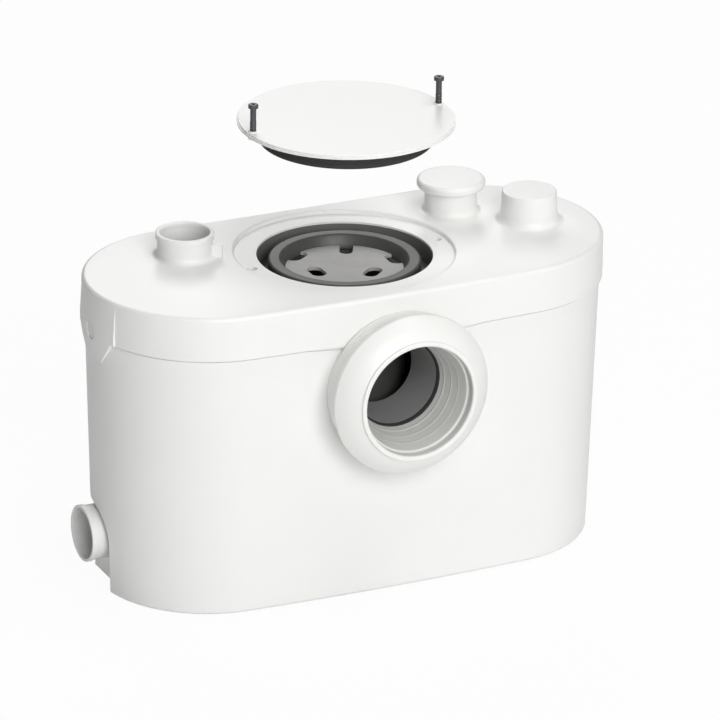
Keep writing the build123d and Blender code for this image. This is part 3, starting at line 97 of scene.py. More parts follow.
@dataclass(frozen=True)
class Finish:
    """Procedural finish: base colour with slow and fine variation, roughness and bump.

    Attributes:
        name: Blender material name.
        color: Linear base colour.
        mottle: How far the slow noise darkens the base colour.
        mottle_scale: Size of the slow noise, in cycles per metre.
        roughness: Middle roughness.
        roughness_spread: How far the slow noise moves the roughness.
        grain_scale: Size of the fine noise, in cycles per metre.
        bump: Strength of the fine bump.
        bump_depth: Height of the fine bump in metres.
        metallic: Metallic value.
        specular: Specular level.
        coat: Coat weight.
        coat_roughness: Coat roughness.
        subsurface: Subsurface weight.
        stretch: Stretch of the grain along the three axes.
    """

    name: str
    color: tuple[float, float, float]
    mottle: float = 0.04
    mottle_scale: float = 9.0
    roughness: float = 0.4
    roughness_spread: float = 0.08
    grain_scale: float = 900.0
    bump: float = 0.1
    bump_depth: float = 0.0001
    metallic: float = 0.0
    specular: float = 0.5
    coat: float = 0.0
    coat_roughness: float = 0.1
    subsurface: float = 0.0
    stretch: tuple[float, float, float] = (1.0, 1.0, 1.0)

    def material(self) -> bpy.types.Material:
        """Builds the node material, or returns it if it is already there.

        Returns:
            The material.
        """
        known = bpy.data.materials.get(self.name)
        if known is not None:
            return known
        made = bpy.data.materials.new(self.name)
        made.use_nodes = True
        nodes, links = made.node_tree.nodes, made.node_tree.links
        nodes.clear()
        output = nodes.new("ShaderNodeOutputMaterial")
        shader = nodes.new("ShaderNodeBsdfPrincipled")
        links.new(shader.outputs["BSDF"], output.inputs["Surface"])
        place = nodes.new("ShaderNodeTexCoord")
        mapping = nodes.new("ShaderNodeMapping")
        mapping.inputs["Scale"].default_value = self.stretch
        links.new(place.outputs["Object"], mapping.inputs["Vector"])
        slow = self._noise(nodes, links, mapping, self.mottle_scale, SLOW_DETAIL)
        fine = self._noise(nodes, links, mapping, self.grain_scale, FINE_DETAIL)
        ramp = nodes.new("ShaderNodeValToRGB")
        dark = tuple(channel * (1.0 - self.mottle) for channel in self.color)
        ramp.color_ramp.elements[0].position = TONE_START
        ramp.color_ramp.elements[0].color = (*dark, 1.0)
        ramp.color_ramp.elements[1].position = TONE_END
        ramp.color_ramp.elements[1].color = (*self.color, 1.0)
        links.new(slow.outputs["Fac"], ramp.inputs["Fac"])
        links.new(ramp.outputs["Color"], shader.inputs["Base Color"])
        spread = nodes.new("ShaderNodeMapRange")
        spread.inputs["To Min"].default_value = self.roughness - self.roughness_spread
        spread.inputs["To Max"].default_value = self.roughness + self.roughness_spread
        links.new(slow.outputs["Fac"], spread.inputs["Value"])
        links.new(spread.outputs["Result"], shader.inputs["Roughness"])
        bump = nodes.new("ShaderNodeBump")
        bump.inputs["Strength"].default_value = self.bump
        bump.inputs["Distance"].default_value = self.bump_depth
        links.new(fine.outputs["Fac"], bump.inputs["Height"])
        links.new(bump.outputs["Normal"], shader.inputs["Normal"])
        plain = {
            "Metallic": self.metallic,
            "Specular IOR Level": self.specular,
            "Coat Weight": self.coat,
            "Coat Roughness": self.coat_roughness,
            "Subsurface Weight": self.subsurface,
            "Subsurface Radius": SUBSURFACE_REACH,
        }
        for label, value in plain.items():
            shader.inputs[label].default_value = value
        return made

    @staticmethod
    def _noise(
        nodes: bpy.types.Nodes,
        links: bpy.types.NodeLinks,
        mapping: bpy.types.Node,
        scale: float,
        detail: float,
    ) -> bpy.types.Node:
        """Adds one noise texture on object coordinates.

        Args:
            nodes: The material's nodes.
            links: The material's links.
            mapping: The mapping node that feeds it.
            scale: Cycles per metre.
            detail: Octaves.

        Returns:
            The noise node.
        """
        noise = nodes.new("ShaderNodeTexNoise")
        noise.inputs["Scale"].default_value = scale
        noise.inputs["Detail"].default_value = detail
        links.new(mapping.outputs["Vector"], noise.inputs["Vector"])
        return noise


WHITE_CASE = Finish("case_white_moulding", (0.86, 0.86, 0.845), mottle=0.02, roughness=0.34,
                    roughness_spread=0.05, bump=0.12, bump_depth=0.00005, subsurface=0.06)
WHITE_FITTING = Finish("fitting_white_moulding", (0.85, 0.85, 0.83), mottle=0.03, roughness=0.38,
                       roughness_spread=0.06, bump=0.14, bump_depth=0.00005, subsurface=0.06)
# Darker white for the inside of the pan sleeve and its ribs: painted shade in the sleeve's mouth and throat.
SLEEVE_PAINTED_SHADE = Finish("sleeve_inside_painted_shade", (0.66, 0.66, 0.64), mottle=0.06, roughness=0.55,
                      roughness_spread=0.06, bump=0.14, specular=0.35)
BLACK_RUBBER = Finish("black_rubber", (0.018, 0.018, 0.018), mottle=0.3, roughness=0.62,
                      roughness_spread=0.1, grain_scale=1400.0, bump=0.3)
INLET_GREY = Finish("inlet_grey_moulding", (0.26, 0.26, 0.26), mottle=0.12, roughness=0.6,
                    bump=0.2, specular=0.3)
INNER_GREY = Finish("inner_grey_moulding", (0.10, 0.10, 0.10), mottle=0.15, roughness=0.5, bump=0.25)
CAN_GREY = Finish("can_dark_coating", (0.07, 0.071, 0.066), mottle=0.1, roughness=0.45,
                  roughness_spread=0.08, bump=0.25)
# Dark grey over the lower wall of the lid's white opening: painted shade in the deep gap round the motor
# can.
OPENING_PAINTED_SHADE = Finish("opening_wall_painted_shade", (0.15, 0.15, 0.145), mottle=0.12, roughness=0.6, bump=0.2)
PLATE_GREY = Finish("plate_dull_casting", (0.46, 0.455, 0.44), mottle=0.14, mottle_scale=60.0,
                    roughness=0.55, bump=0.35, grain_scale=1500.0)
SCREW_DARK = Finish("screw_dark_plating", (0.11, 0.11, 0.115), mottle=0.2, roughness=0.4,
                    metallic=0.6, bump=0.2)
STEEL = Finish("turned_steel", (0.56, 0.56, 0.55), mottle=0.12, roughness=0.3, metallic=1.0,
               bump=0.2, stretch=(1.0, 1.0, 8.0))
STACK_IRON = Finish("laminated_iron", (0.20, 0.20, 0.21), mottle=0.2, roughness=0.45, metallic=0.8,
                    grain_scale=1200.0, bump=0.4, stretch=(0.05, 0.05, 1.0))
COPPER = Finish("enamelled_copper", (0.45, 0.17, 0.06), mottle=0.3, mottle_scale=120.0, roughness=0.35,
                metallic=0.7, coat=0.5, bump=0.5, stretch=(0.2, 0.2, 1.0))
BLACK_PLASTIC = Finish("black_moulding", (0.025, 0.025, 0.026), mottle=0.2, roughness=0.5, bump=0.3)
BOARD_GREEN = Finish("board_green_mask", (0.02, 0.12, 0.045), mottle=0.2, roughness=0.35, coat=0.4, bump=0.2)
FELT = Finish("filter_felt", (0.05, 0.05, 0.05), mottle=0.5, mottle_scale=300.0, roughness=0.9,
              grain_scale=2500.0, bump=0.8, bump_depth=0.0004)


@dataclass(frozen=True)
class TurningAxis:
    """Axis that a turned piece is made about.

    Attributes:
        origin: A point of the axis, in metres.
        along: Direction in which distances are counted.
        across: Direction of angle zero.
    """

    origin: tuple[float, float, float]
    along: tuple[float, float, float]
    across: tuple[float, float, float]

    def point(self, distance: float, radius: float, angle: float) -> Vector:
        """Gives one point about the axis.

        Args:
            distance: Distance along the axis in metres.
            radius: Distance from the axis in metres.
            angle: Turn about the axis in radians.

        Returns:
            The point.
        """
        along, across = Vector(self.along), Vector(self.across)
        side = along.cross(across)
        out = across * math.cos(angle) + side * math.sin(angle)
        return Vector(self.origin) + along * distance + out * radius

    def frame_matrix(self, distance: float) -> Matrix:
        """Gives the matrix that stands a Z-up shape on the axis.

        Args:
            distance: Distance along the axis in metres.

        Returns:
            The matrix.
        """
        along, across = Vector(self.along), Vector(self.across)
        turn = Matrix((across, along.cross(across), along)).transposed().to_4x4()
        return Matrix.Translation(Vector(self.origin) + along * distance) @ turn


def mount_place(name: str) -> Vector:
    """Gives the place of one of the record's mounts."""
    mounts = {mount["name"]: mount for mount in frame["record"]["mounts"]}
    return Vector(mounts[name]["pos_m"])


PAN_AXIS = TurningAxis((0.0, 0.0, mount_place("pan_inlet").z), (0.0, -1.0, 0.0), (1.0, 0.0, 0.0))
MIDDLE_AXIS = TurningAxis((0.0, 0.0, 0.0), (0.0, 0.0, 1.0), (1.0, 0.0, 0.0))


def rounded_profile(corners: Sequence[tuple[float, float, float]]) -> list[tuple[float, float]]:
    """Rounds the corners of a closed outline.

    Args:
        corners: Distance, radius and corner rounding of each corner, in millimetres.

    Returns:
        The points of the outline in millimetres.
    """
    outline: list[tuple[float, float]] = []
    for index, (distance, radius, rounding) in enumerate(corners):
        if rounding == 0:
            outline.append((distance, radius))
            continue
        here = Vector((distance, radius))
        before = (Vector(corners[index - 1][:2]) - here).normalized()
        after = (Vector(corners[(index + 1) % len(corners)][:2]) - here).normalized()
        half = before.angle(after) / 2
        centre = here + (before + after).normalized() * rounding / math.sin(half)
        start = here + before * rounding / math.tan(half) - centre
        end = here + after * rounding / math.tan(half) - centre
        for step in range(CORNER_STEPS + 1):
            share = step / CORNER_STEPS
            turned = start.lerp(end, share).normalized() * rounding
            outline.append(tuple(centre + turned))
    return outline


class MeshWorks:
    """Shared ways to make finished meshes, each with its place in its own vertices."""

    @staticmethod
    def turned(
        name: str,
        axis: TurningAxis,
        outline: Sequence[tuple[float, float]],
        steps: int,
    ) -> bpy.types.Mesh:
        """Turns a closed outline of distance and radius pairs about an axis.

        Args:
            name: Name of the mesh.
            axis: The axis.
            outline: Points of the outline in millimetres.
            steps: Divisions round the axis.

        Returns:
            The closed mesh, with its faces pointing outwards.
        """
        work = bmesh.new()
        rings = []
        for distance, radius in outline:
            if radius <= 0:
                pole = work.verts.new(axis.point(distance * MM, 0.0, 0.0))
                rings.append([pole] * steps)
                continue
            angles = [math.tau * step / steps for step in range(steps)]
            rings.append([work.verts.new(axis.point(distance * MM, radius * MM, angle)) for angle in angles])
        for index, ring in enumerate(rings):
            after = rings[(index + 1) % len(rings)]
            for step in range(steps):
                corners = [ring[step], ring[step - 1], after[step - 1], after[step]]
                corners = list(dict.fromkeys(corners))
                if len(corners) > 2:
                    work.faces.new(corners)
        bmesh.ops.recalc_face_normals(work, faces=work.faces)
        return MeshWorks.shaded(work, name, TURNED_SHARP_DEGREES)

    @staticmethod
    def shaded(work: bmesh.types.BMesh, name: str, sharp_degrees: float) -> bpy.types.Mesh:
        """Turns a working mesh into a mesh whose curves are shaded smooth.

        Args:
            work: The working mesh, which is freed.
            name: Name of the mesh.
            sharp_degrees: Edges that turn by more than this stay sharp.

        Returns:
            The mesh.
        """
        limit = math.radians(sharp_degrees)
        for face in work.faces:
            face.smooth = True
        for edge in work.edges:
            edge.smooth = len(edge.link_faces) == 2 and edge.calc_face_angle(0.0) < limit
        mesh = bpy.data.meshes.new(name)
        work.to_mesh(mesh)
        work.free()
        return mesh

    @staticmethod
    def finished(mesh: bpy.types.Mesh, bevel_mm: float) -> bpy.types.Mesh:
        """Rounds a mesh's sharp edges a little and weights its normals by face size.

        Args:
            mesh: The mesh, which is removed.
            bevel_mm: Width of the rounding in millimetres, or zero for none.

        Returns:
            The finished mesh.
        """
        holder = bpy.data.objects.new(f"{mesh.name}_holder", mesh)
        bpy.context.scene.collection.objects.link(holder)
        if bevel_mm > 0:
            bevel = holder.modifiers.new("edge_rounding", "BEVEL")
            bevel.limit_method = "ANGLE"
            bevel.angle_limit = math.radians(EDGE_ROUNDING_DEGREES)
            bevel.width = bevel_mm * MM
            bevel.segments = EDGE_ROUNDING_STEPS
        weighting = holder.modifiers.new("face_weighting", "WEIGHTED_NORMAL")
        weighting.keep_sharp = True
        seen = holder.evaluated_get(bpy.context.evaluated_depsgraph_get())
        result = bpy.data.meshes.new_from_object(seen)
        result.name = mesh.name
        bpy.data.objects.remove(holder)
        bpy.data.meshes.remove(mesh)
        return result

    @staticmethod
    def piece(name: str, mesh: bpy.types.Mesh, finish: Finish, body: Body) -> bpy.types.Object:
        """Makes an object of a mesh, gives it a finish and sets it riding.

        Args:
            name: Name of the piece.
            mesh: Its mesh, placed in metres in the shared frame.
            finish: Its finish.
            body: The body that it rides on.

        Returns:
            The new object.
        """
        made = bpy.data.objects.new(name, mesh)
        bpy.context.scene.collection.objects.link(made)
        made.data.materials.clear()
        made.data.materials.append(finish.material())
        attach(made, body.value)
        log.info("piece %s: %d faces on %s", name, len(mesh.polygons), body.value)
        return made

    @staticmethod
    def refined_copy(node: str) -> bpy.types.Mesh:
        """Copies a CAD node's mesh with its corners merged and its curves shaded smooth.

        Args:
            node: Name of the CAD node.

        Returns:
            The merged mesh.
        """
        work = bmesh.new()
        work.from_mesh(frame["nodes"][node].data)
        bmesh.ops.remove_doubles(work, verts=work.verts, dist=MERGE_DISTANCE)
        bmesh.ops.dissolve_degenerate(work, edges=work.edges, dist=WELD_DISTANCE)
        return MeshWorks.shaded(work, f"{node}_refined", COPIED_SHARP_DEGREES)


class NodeTree:
    """Small helper that writes a Geometry Nodes tree with named size inputs."""

    def __init__(self, name: str, finish: Finish) -> None:
        """Starts an empty tree whose result gets one finish.

        Args:
            name: Name of the tree.
            finish: Finish that the tree's last node sets.
        """
        self.tree = bpy.data.node_groups.new(name, "GeometryNodeTree")
        self.finish = finish
        self.keys: dict[str, str] = {}
        self.tree.interface.new_socket("Geometry", in_out="OUTPUT", socket_type="NodeSocketGeometry")
        self.source = self.tree.nodes.new("NodeGroupInput")
        self.values: dict[str, float] = {}

    def size(self, name: str, value: float) -> bpy.types.NodeSocket:
        """Adds a named size input.

        Args:
            name: Name of the input.
            value: Its value for this use.

        Returns:
            The socket that gives it inside the tree.
        """
        kind = "NodeSocketInt" if isinstance(value, int) else "NodeSocketFloat"
        made = self.tree.interface.new_socket(name, in_out="INPUT", socket_type=kind)
        self.keys[name] = made.identifier
        self.values[name] = value
        return next(socket for socket in self.source.outputs if socket.identifier == made.identifier)

    def node(self, kind: str, **links_or_values: object) -> bpy.types.Node:
        """Adds a node and fills its inputs.

        Args:
            kind: Blender's node type.
            links_or_values: Input name, with underscores for spaces, and a socket or a value for it.

        Returns:
            The node.
        """
        made = self.tree.nodes.new(kind)
        for label, value in links_or_values.items():
            socket = made.inputs[label.replace("_", " ")]
            if isinstance(value, bpy.types.NodeSocket):
                self.tree.links.new(value, socket)
            else:
                socket.default_value = value
        return made

    def math(self, operation: str, first: object, second: object = 0.0) -> bpy.types.NodeSocket:
        """Adds a math node.

        Args:
            operation: Blender's name of the operation.
            first: Socket or number.
            second: Socket or number.

        Returns:
            The result's socket.
        """
        made = self.tree.nodes.new("ShaderNodeMath")
        made.operation = operation
        for index, value in enumerate((first, second)):
            if isinstance(value, bpy.types.NodeSocket):
                self.tree.links.new(value, made.inputs[index])
            else:
                made.inputs[index].default_value = value
        return made.outputs[0]

    def swept(
        self,
        curve: bpy.types.NodeSocket,
        label: str,
        radius: float,
        steps: int,
    ) -> bpy.types.NodeSocket:
        """Sweeps a round section along a curve, with closed ends.

        Args:
            curve: The curve.
            label: Name of the input that holds the section's radius.
            radius: Radius of the section in metres.
            steps: Sides of the section.

        Returns:
            The swept mesh's socket.
        """
        section = self.node("GeometryNodeCurvePrimitiveCircle", Resolution=steps,
                            Radius=self.size(label, radius))
        made = self.node("GeometryNodeCurveToMesh", Curve=curve, Profile_Curve=section.outputs["Curve"],
                         Fill_Caps=True)
        return made.outputs["Mesh"]

    def ring_of(
        self,
        shape: bpy.types.NodeSocket,
        count: int,
        radius: float,
        lean: float = 0.0,
    ) -> bpy.types.NodeSocket:
        """Stands copies of a shape about the Z axis, each turned to face it.

        Args:
            shape: Geometry of one copy.
            count: Number of copies.
            radius: Distance of the copies from the axis in metres.
            lean: Turn of each copy towards the axis in radians.

        Returns:
            The copies' socket.
        """
        circle = self.node("GeometryNodeMeshCircle", Vertices=self.size("Copies", count),
                           Radius=self.size("Distance", radius))
        place = self.node("GeometryNodeInputPosition")
        apart = self.node("ShaderNodeSeparateXYZ", Vector=place.outputs["Position"])
        turn = self.math("ARCTAN2", apart.outputs["Y"], apart.outputs["X"])
        tilt = self.math("MULTIPLY", self.size("Lean", lean), -1.0)
        facing = self.node("ShaderNodeCombineXYZ", Y=tilt, Z=turn)
        put = self.node("GeometryNodeInstanceOnPoints", Points=circle.outputs["Mesh"], Instance=shape,
                        Rotation=facing.outputs["Vector"])
        return put.outputs["Instances"]

    def mesh(self, result: bpy.types.NodeSocket, place: Matrix) -> bpy.types.Mesh:
        """Ends the tree, runs it once and gives its result as a plain mesh.

        Args:
            result: The geometry to finish.
            place: Matrix that puts the result in the shared frame.

        Returns:
            The mesh, placed.
        """
        realised = self.node("GeometryNodeRealizeInstances", Geometry=result)
        dressed = self.node("GeometryNodeSetMaterial", Geometry=realised.outputs["Geometry"])
        dressed.inputs["Material"].default_value = self.finish.material()
        output = self.tree.nodes.new("NodeGroupOutput")
        self.tree.links.new(dressed.outputs["Geometry"], output.inputs["Geometry"])
        empty = bpy.data.meshes.new(f"{self.tree.name}_start")
        holder = bpy.data.objects.new(f"{self.tree.name}_holder", empty)
        bpy.context.scene.collection.objects.link(holder)
        modifier = holder.modifiers.new(self.tree.name, "NODES")
        modifier.node_group = self.tree
        for name, key in self.keys.items():
            modifier[key] = self.values[name]
        seen = holder.evaluated_get(bpy.context.evaluated_depsgraph_get())
        made = bpy.data.meshes.new_from_object(seen)
        bpy.data.objects.remove(holder)
        bpy.data.meshes.remove(empty)
        made.transform(place)
        work = bmesh.new()
        work.from_mesh(made)
        bpy.data.meshes.remove(made)
        bmesh.ops.remove_doubles(work, verts=work.verts, dist=WELD_DISTANCE)
        bmesh.ops.recalc_face_normals(work, faces=work.faces)
        return MeshWorks.shaded(work, self.tree.name, REPEATED_SHARP_DEGREES)

    def tapered_rings(
        self,
        count: int,
        pitch: float,
        first_r: float,
        last_r: float,
        section_r: float,
    ) -> bpy.types.NodeSocket:
        """Sets rings in a row, each a little smaller than the one before.

        Args:
            count: Number of rings.
            pitch: Distance from ring to ring in metres.
            first_r: Radius of the first ring in metres.
            last_r: Radius of the last ring in metres.
            section_r: Radius of a ring's section in metres.

        Returns:
            The rings' socket.
        """
        rings = self.size("Rings", count)
        step = self.node("ShaderNodeCombineXYZ", Z=self.math("MULTIPLY", self.size("Pitch", pitch), -1.0))
        line = self.node("GeometryNodeMeshLine", Count=rings, Offset=step.outputs["Vector"])
        first, last = self.size("First radius", first_r), self.size("Last radius", last_r)
        place = self.node("GeometryNodeInputIndex")
        share = self.math("DIVIDE", place.outputs["Index"], self.math("SUBTRACT", rings, 1.0))
        reach = self.math("ADD", first, self.math("MULTIPLY", share, self.math("SUBTRACT", last, first)))
        loop = self.node("GeometryNodeCurvePrimitiveCircle", Resolution=RING_STEPS, Radius=1.0)
        scale = self.node("ShaderNodeCombineXYZ", X=reach, Y=reach, Z=reach)
        put = self.node("GeometryNodeInstanceOnPoints", Points=line.outputs["Mesh"],
                        Instance=loop.outputs["Curve"], Scale=scale.outputs["Vector"])
        flat = self.node("GeometryNodeRealizeInstances", Geometry=put.outputs["Instances"])
        even = self.node("GeometryNodeSetCurveRadius", Curve=flat.outputs["Geometry"], Radius=1.0)
        return self.swept(even.outputs["Curve"], "Section radius", section_r, RING_SECTION_STEPS)

    def screw_thread(self, turns: float, pitch: float, radius: float, depth: float) -> bpy.types.NodeSocket:
        """Winds one screw thread about the Z axis, up from the origin.

        Args:
            turns: Number of turns.
            pitch: Rise of a turn in metres.
            radius: Radius of the thread's root in metres.
            depth: How far the thread stands out in metres.

        Returns:
            The thread's socket.
        """
        wound = self.size("Turns", turns)
        root = self.size("Root radius", radius)
        climb = self.math("MULTIPLY", wound, self.size("Pitch", pitch))
        helix = self.node("GeometryNodeCurveSpiral", Resolution=THREAD_TURN_STEPS, Rotations=wound,
                          Start_Radius=root, End_Radius=root, Height=climb)
        return self.swept(helix.outputs["Curve"], "Depth", depth, THREAD_SECTION_STEPS)

    def ribs_about(
        self,
        count: int,
        radius: float,
        rib_r: float,
        length: float,
        lean: float,
    ) -> bpy.types.NodeSocket:
        """Stands round ribs side by side about the Z axis.

        Args:
            count: Number of ribs.
            radius: Distance of the ribs from the axis in metres.
            rib_r: Radius of a rib in metres.
            length: Length of a rib in metres.
            lean: Turn of each rib towards the axis in radians.

        Returns:
            The ribs' socket.
        """
        long = self.size("Length", length)
        top = self.node("ShaderNodeCombineXYZ", Z=self.math("MULTIPLY", long, 0.5))
        foot = self.node("ShaderNodeCombineXYZ", Z=self.math("MULTIPLY", long, -0.5))
        stem = self.node("GeometryNodeCurvePrimitiveLine", Start=foot.outputs["Vector"],
                         End=top.outputs["Vector"])
        rib = self.swept(stem.outputs["Curve"], "Rib radius", rib_r, RIB_SECTION_STEPS)
        return self.ring_of(rib, count, radius, lean)

    def wire_loops(
        self,
        count: int,
        middle_r: float,
        half: tuple[float, float],
        wire_r: float,
        corner_r: float,
    ) -> bpy.types.NodeSocket:
        """Winds wire loops round the section of a ring about the Z axis.

        Args:
            count: Number of loops.
            middle_r: Radius of the ring's middle in metres.
            half: Half width and half height of a loop in metres.
            wire_r: Radius of the wire in metres.
            corner_r: Rounding of a loop's corners in metres.

        Returns:
            The loops' socket.
        """
        loop = self.node("GeometryNodeCurvePrimitiveQuadrilateral")
        loop.mode = "RECTANGLE"
        for label, reach in zip(("Width", "Height"), half):
            whole = self.math("MULTIPLY", self.size(f"Half {label.lower()}", reach), 2.0)
            self.tree.links.new(whole, loop.inputs[label])
        soft = self.node("GeometryNodeFilletCurve", Curve=loop.outputs["Curve"],
                         Radius=self.size("Corner radius", corner_r))
        soft.mode = "POLY"
        soft.inputs["Count"].default_value = WIRE_CORNER_STEPS
        wire = self.swept(soft.outputs["Curve"], "Wire radius", wire_r, WIRE_SECTION_STEPS)
        stood = self.node("GeometryNodeTransform", Geometry=wire, Rotation=(math.pi / 2, 0.0, 0.0))
        return self.ring_of(stood.outputs["Geometry"], count, middle_r)


@dataclass(frozen=True)
class Kept:
    """How a node whose shape is kept gets dressed.

    Attributes:
        finish: Its finish.
        body: The body that it rides on.
        bevel_mm: Rounding of its edges in millimetres, or zero for none.
    """

    finish: Finish
    body: Body = Body.HOUSING
    bevel_mm: float = 0.0


class SubAssembly:
    """One sub-assembly: the nodes whose shape it keeps, and the pieces that it makes anew.

    Attributes:
        kept: The nodes whose shape is kept, and how each gets dressed.
    """

    kept: ClassVar[dict[str, Kept]] = {}

    def dress(self) -> None:
        """Replaces each kept node with a merged, smooth copy, then makes the other pieces."""
        for node, how in self.kept.items():
            copy = MeshWorks.refined_copy(node)
            self.adjust(node, copy)
            mesh = MeshWorks.finished(copy, how.bevel_mm)
            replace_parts(MeshWorks.piece(f"{node}_surface", mesh, how.finish, how.body), node)
        self.make()

    def adjust(self, node: str, mesh: bpy.types.Mesh) -> None:
        """Moves corners of a kept node's copy where the real piece differs in fine detail.

        Args:
            node: Name of the node that the mesh was copied from.
            mesh: The copy.
        """

    def make(self) -> None:
        """Makes the pieces that aren't copies of a node."""


@dataclass
class Casing(SubAssembly):
    """Tank, lid, gasket, ear screws with their plugs, and feet, with sizes in millimetres."""

    seam_height: float = 225.0
    seam_lift: float = 1.2
    seam_reach: float = 0.25
    arch_r: float = 68.0
    arch_shown_r: float = 62.4
    boss_r: float = 67.0
    boss_shown_r: float = 61.7
    boss_back: float = -98.5
    ring_reach: float = 0.8
    lip_inner_r: float = 20.2
    lip_outer_r: float = 24.1
    lip_foot: float = 279.2
    lip_top: float = 283.7
    lip_foot_inner_rounding: float = 0.4
    lip_foot_outer_rounding: float = 1.1
    lip_top_inner_rounding: float = 1.5
    lip_top_outer_rounding: float = 1.9

    kept = {
        "tank": Kept(WHITE_CASE),
        "lid": Kept(WHITE_CASE),
        "lid_gasket": Kept(BLACK_RUBBER),
        "lid_screws": Kept(STEEL, bevel_mm=0.2),
        "screw_plugs": Kept(WHITE_FITTING, bevel_mm=0.2),
        "feet": Kept(BLACK_RUBBER),
    }

    def adjust(self, node: str, mesh: bpy.types.Mesh) -> None:
        """Opens the seam's shadow gap and draws the pan boss in behind its flange.

        Args:
            node: Name of the node that the mesh was copied from.
            mesh: The copy, whose corners are moved.
        """
        if node not in ("tank", "lid"):
            return
        radius, shown = self.boss_r, self.boss_shown_r
        if node == "lid":
            radius, shown = self.arch_r, self.arch_shown_r
        middle = PAN_AXIS.origin[2]
        for corner in mesh.vertices:
            place = corner.co
            at_seam = abs(place.z - self.seam_height * MM) < self.seam_reach * MM
            away = math.hypot(place.x, place.z - middle)
            if place.y < self.boss_back * MM and abs(away - radius * MM) < self.ring_reach * MM:
                if at_seam:
                    place.x = math.copysign(math.sqrt((shown * MM) ** 2 - (place.z - middle) ** 2), place.x)
                else:
                    place.x *= shown * MM / away
                    place.z = middle + (place.z - middle) * shown * MM / away
            if node == "lid" and at_seam:
                place.z += self.seam_lift * MM

    def make(self) -> None:
        """Turns the rounded lip of the outlet spigot."""
        outlet = mount_place("discharge_outlet")
        axis = TurningAxis((outlet.x, outlet.y, 0.0), (0.0, 0.0, 1.0), (1.0, 0.0, 0.0))
        outline = rounded_profile([
            (self.lip_foot, self.lip_inner_r, self.lip_foot_inner_rounding),
            (self.lip_foot, self.lip_outer_r, self.lip_foot_outer_rounding),
            (self.lip_top, self.lip_outer_r, self.lip_top_outer_rounding),
            (self.lip_top, self.lip_inner_r, self.lip_top_inner_rounding),
        ])
        mesh = MeshWorks.turned("outlet_lip", axis, outline, SMALL_TURN_STEPS)
        MeshWorks.piece("outlet_lip", mesh, WHITE_CASE, Body.HOUSING)


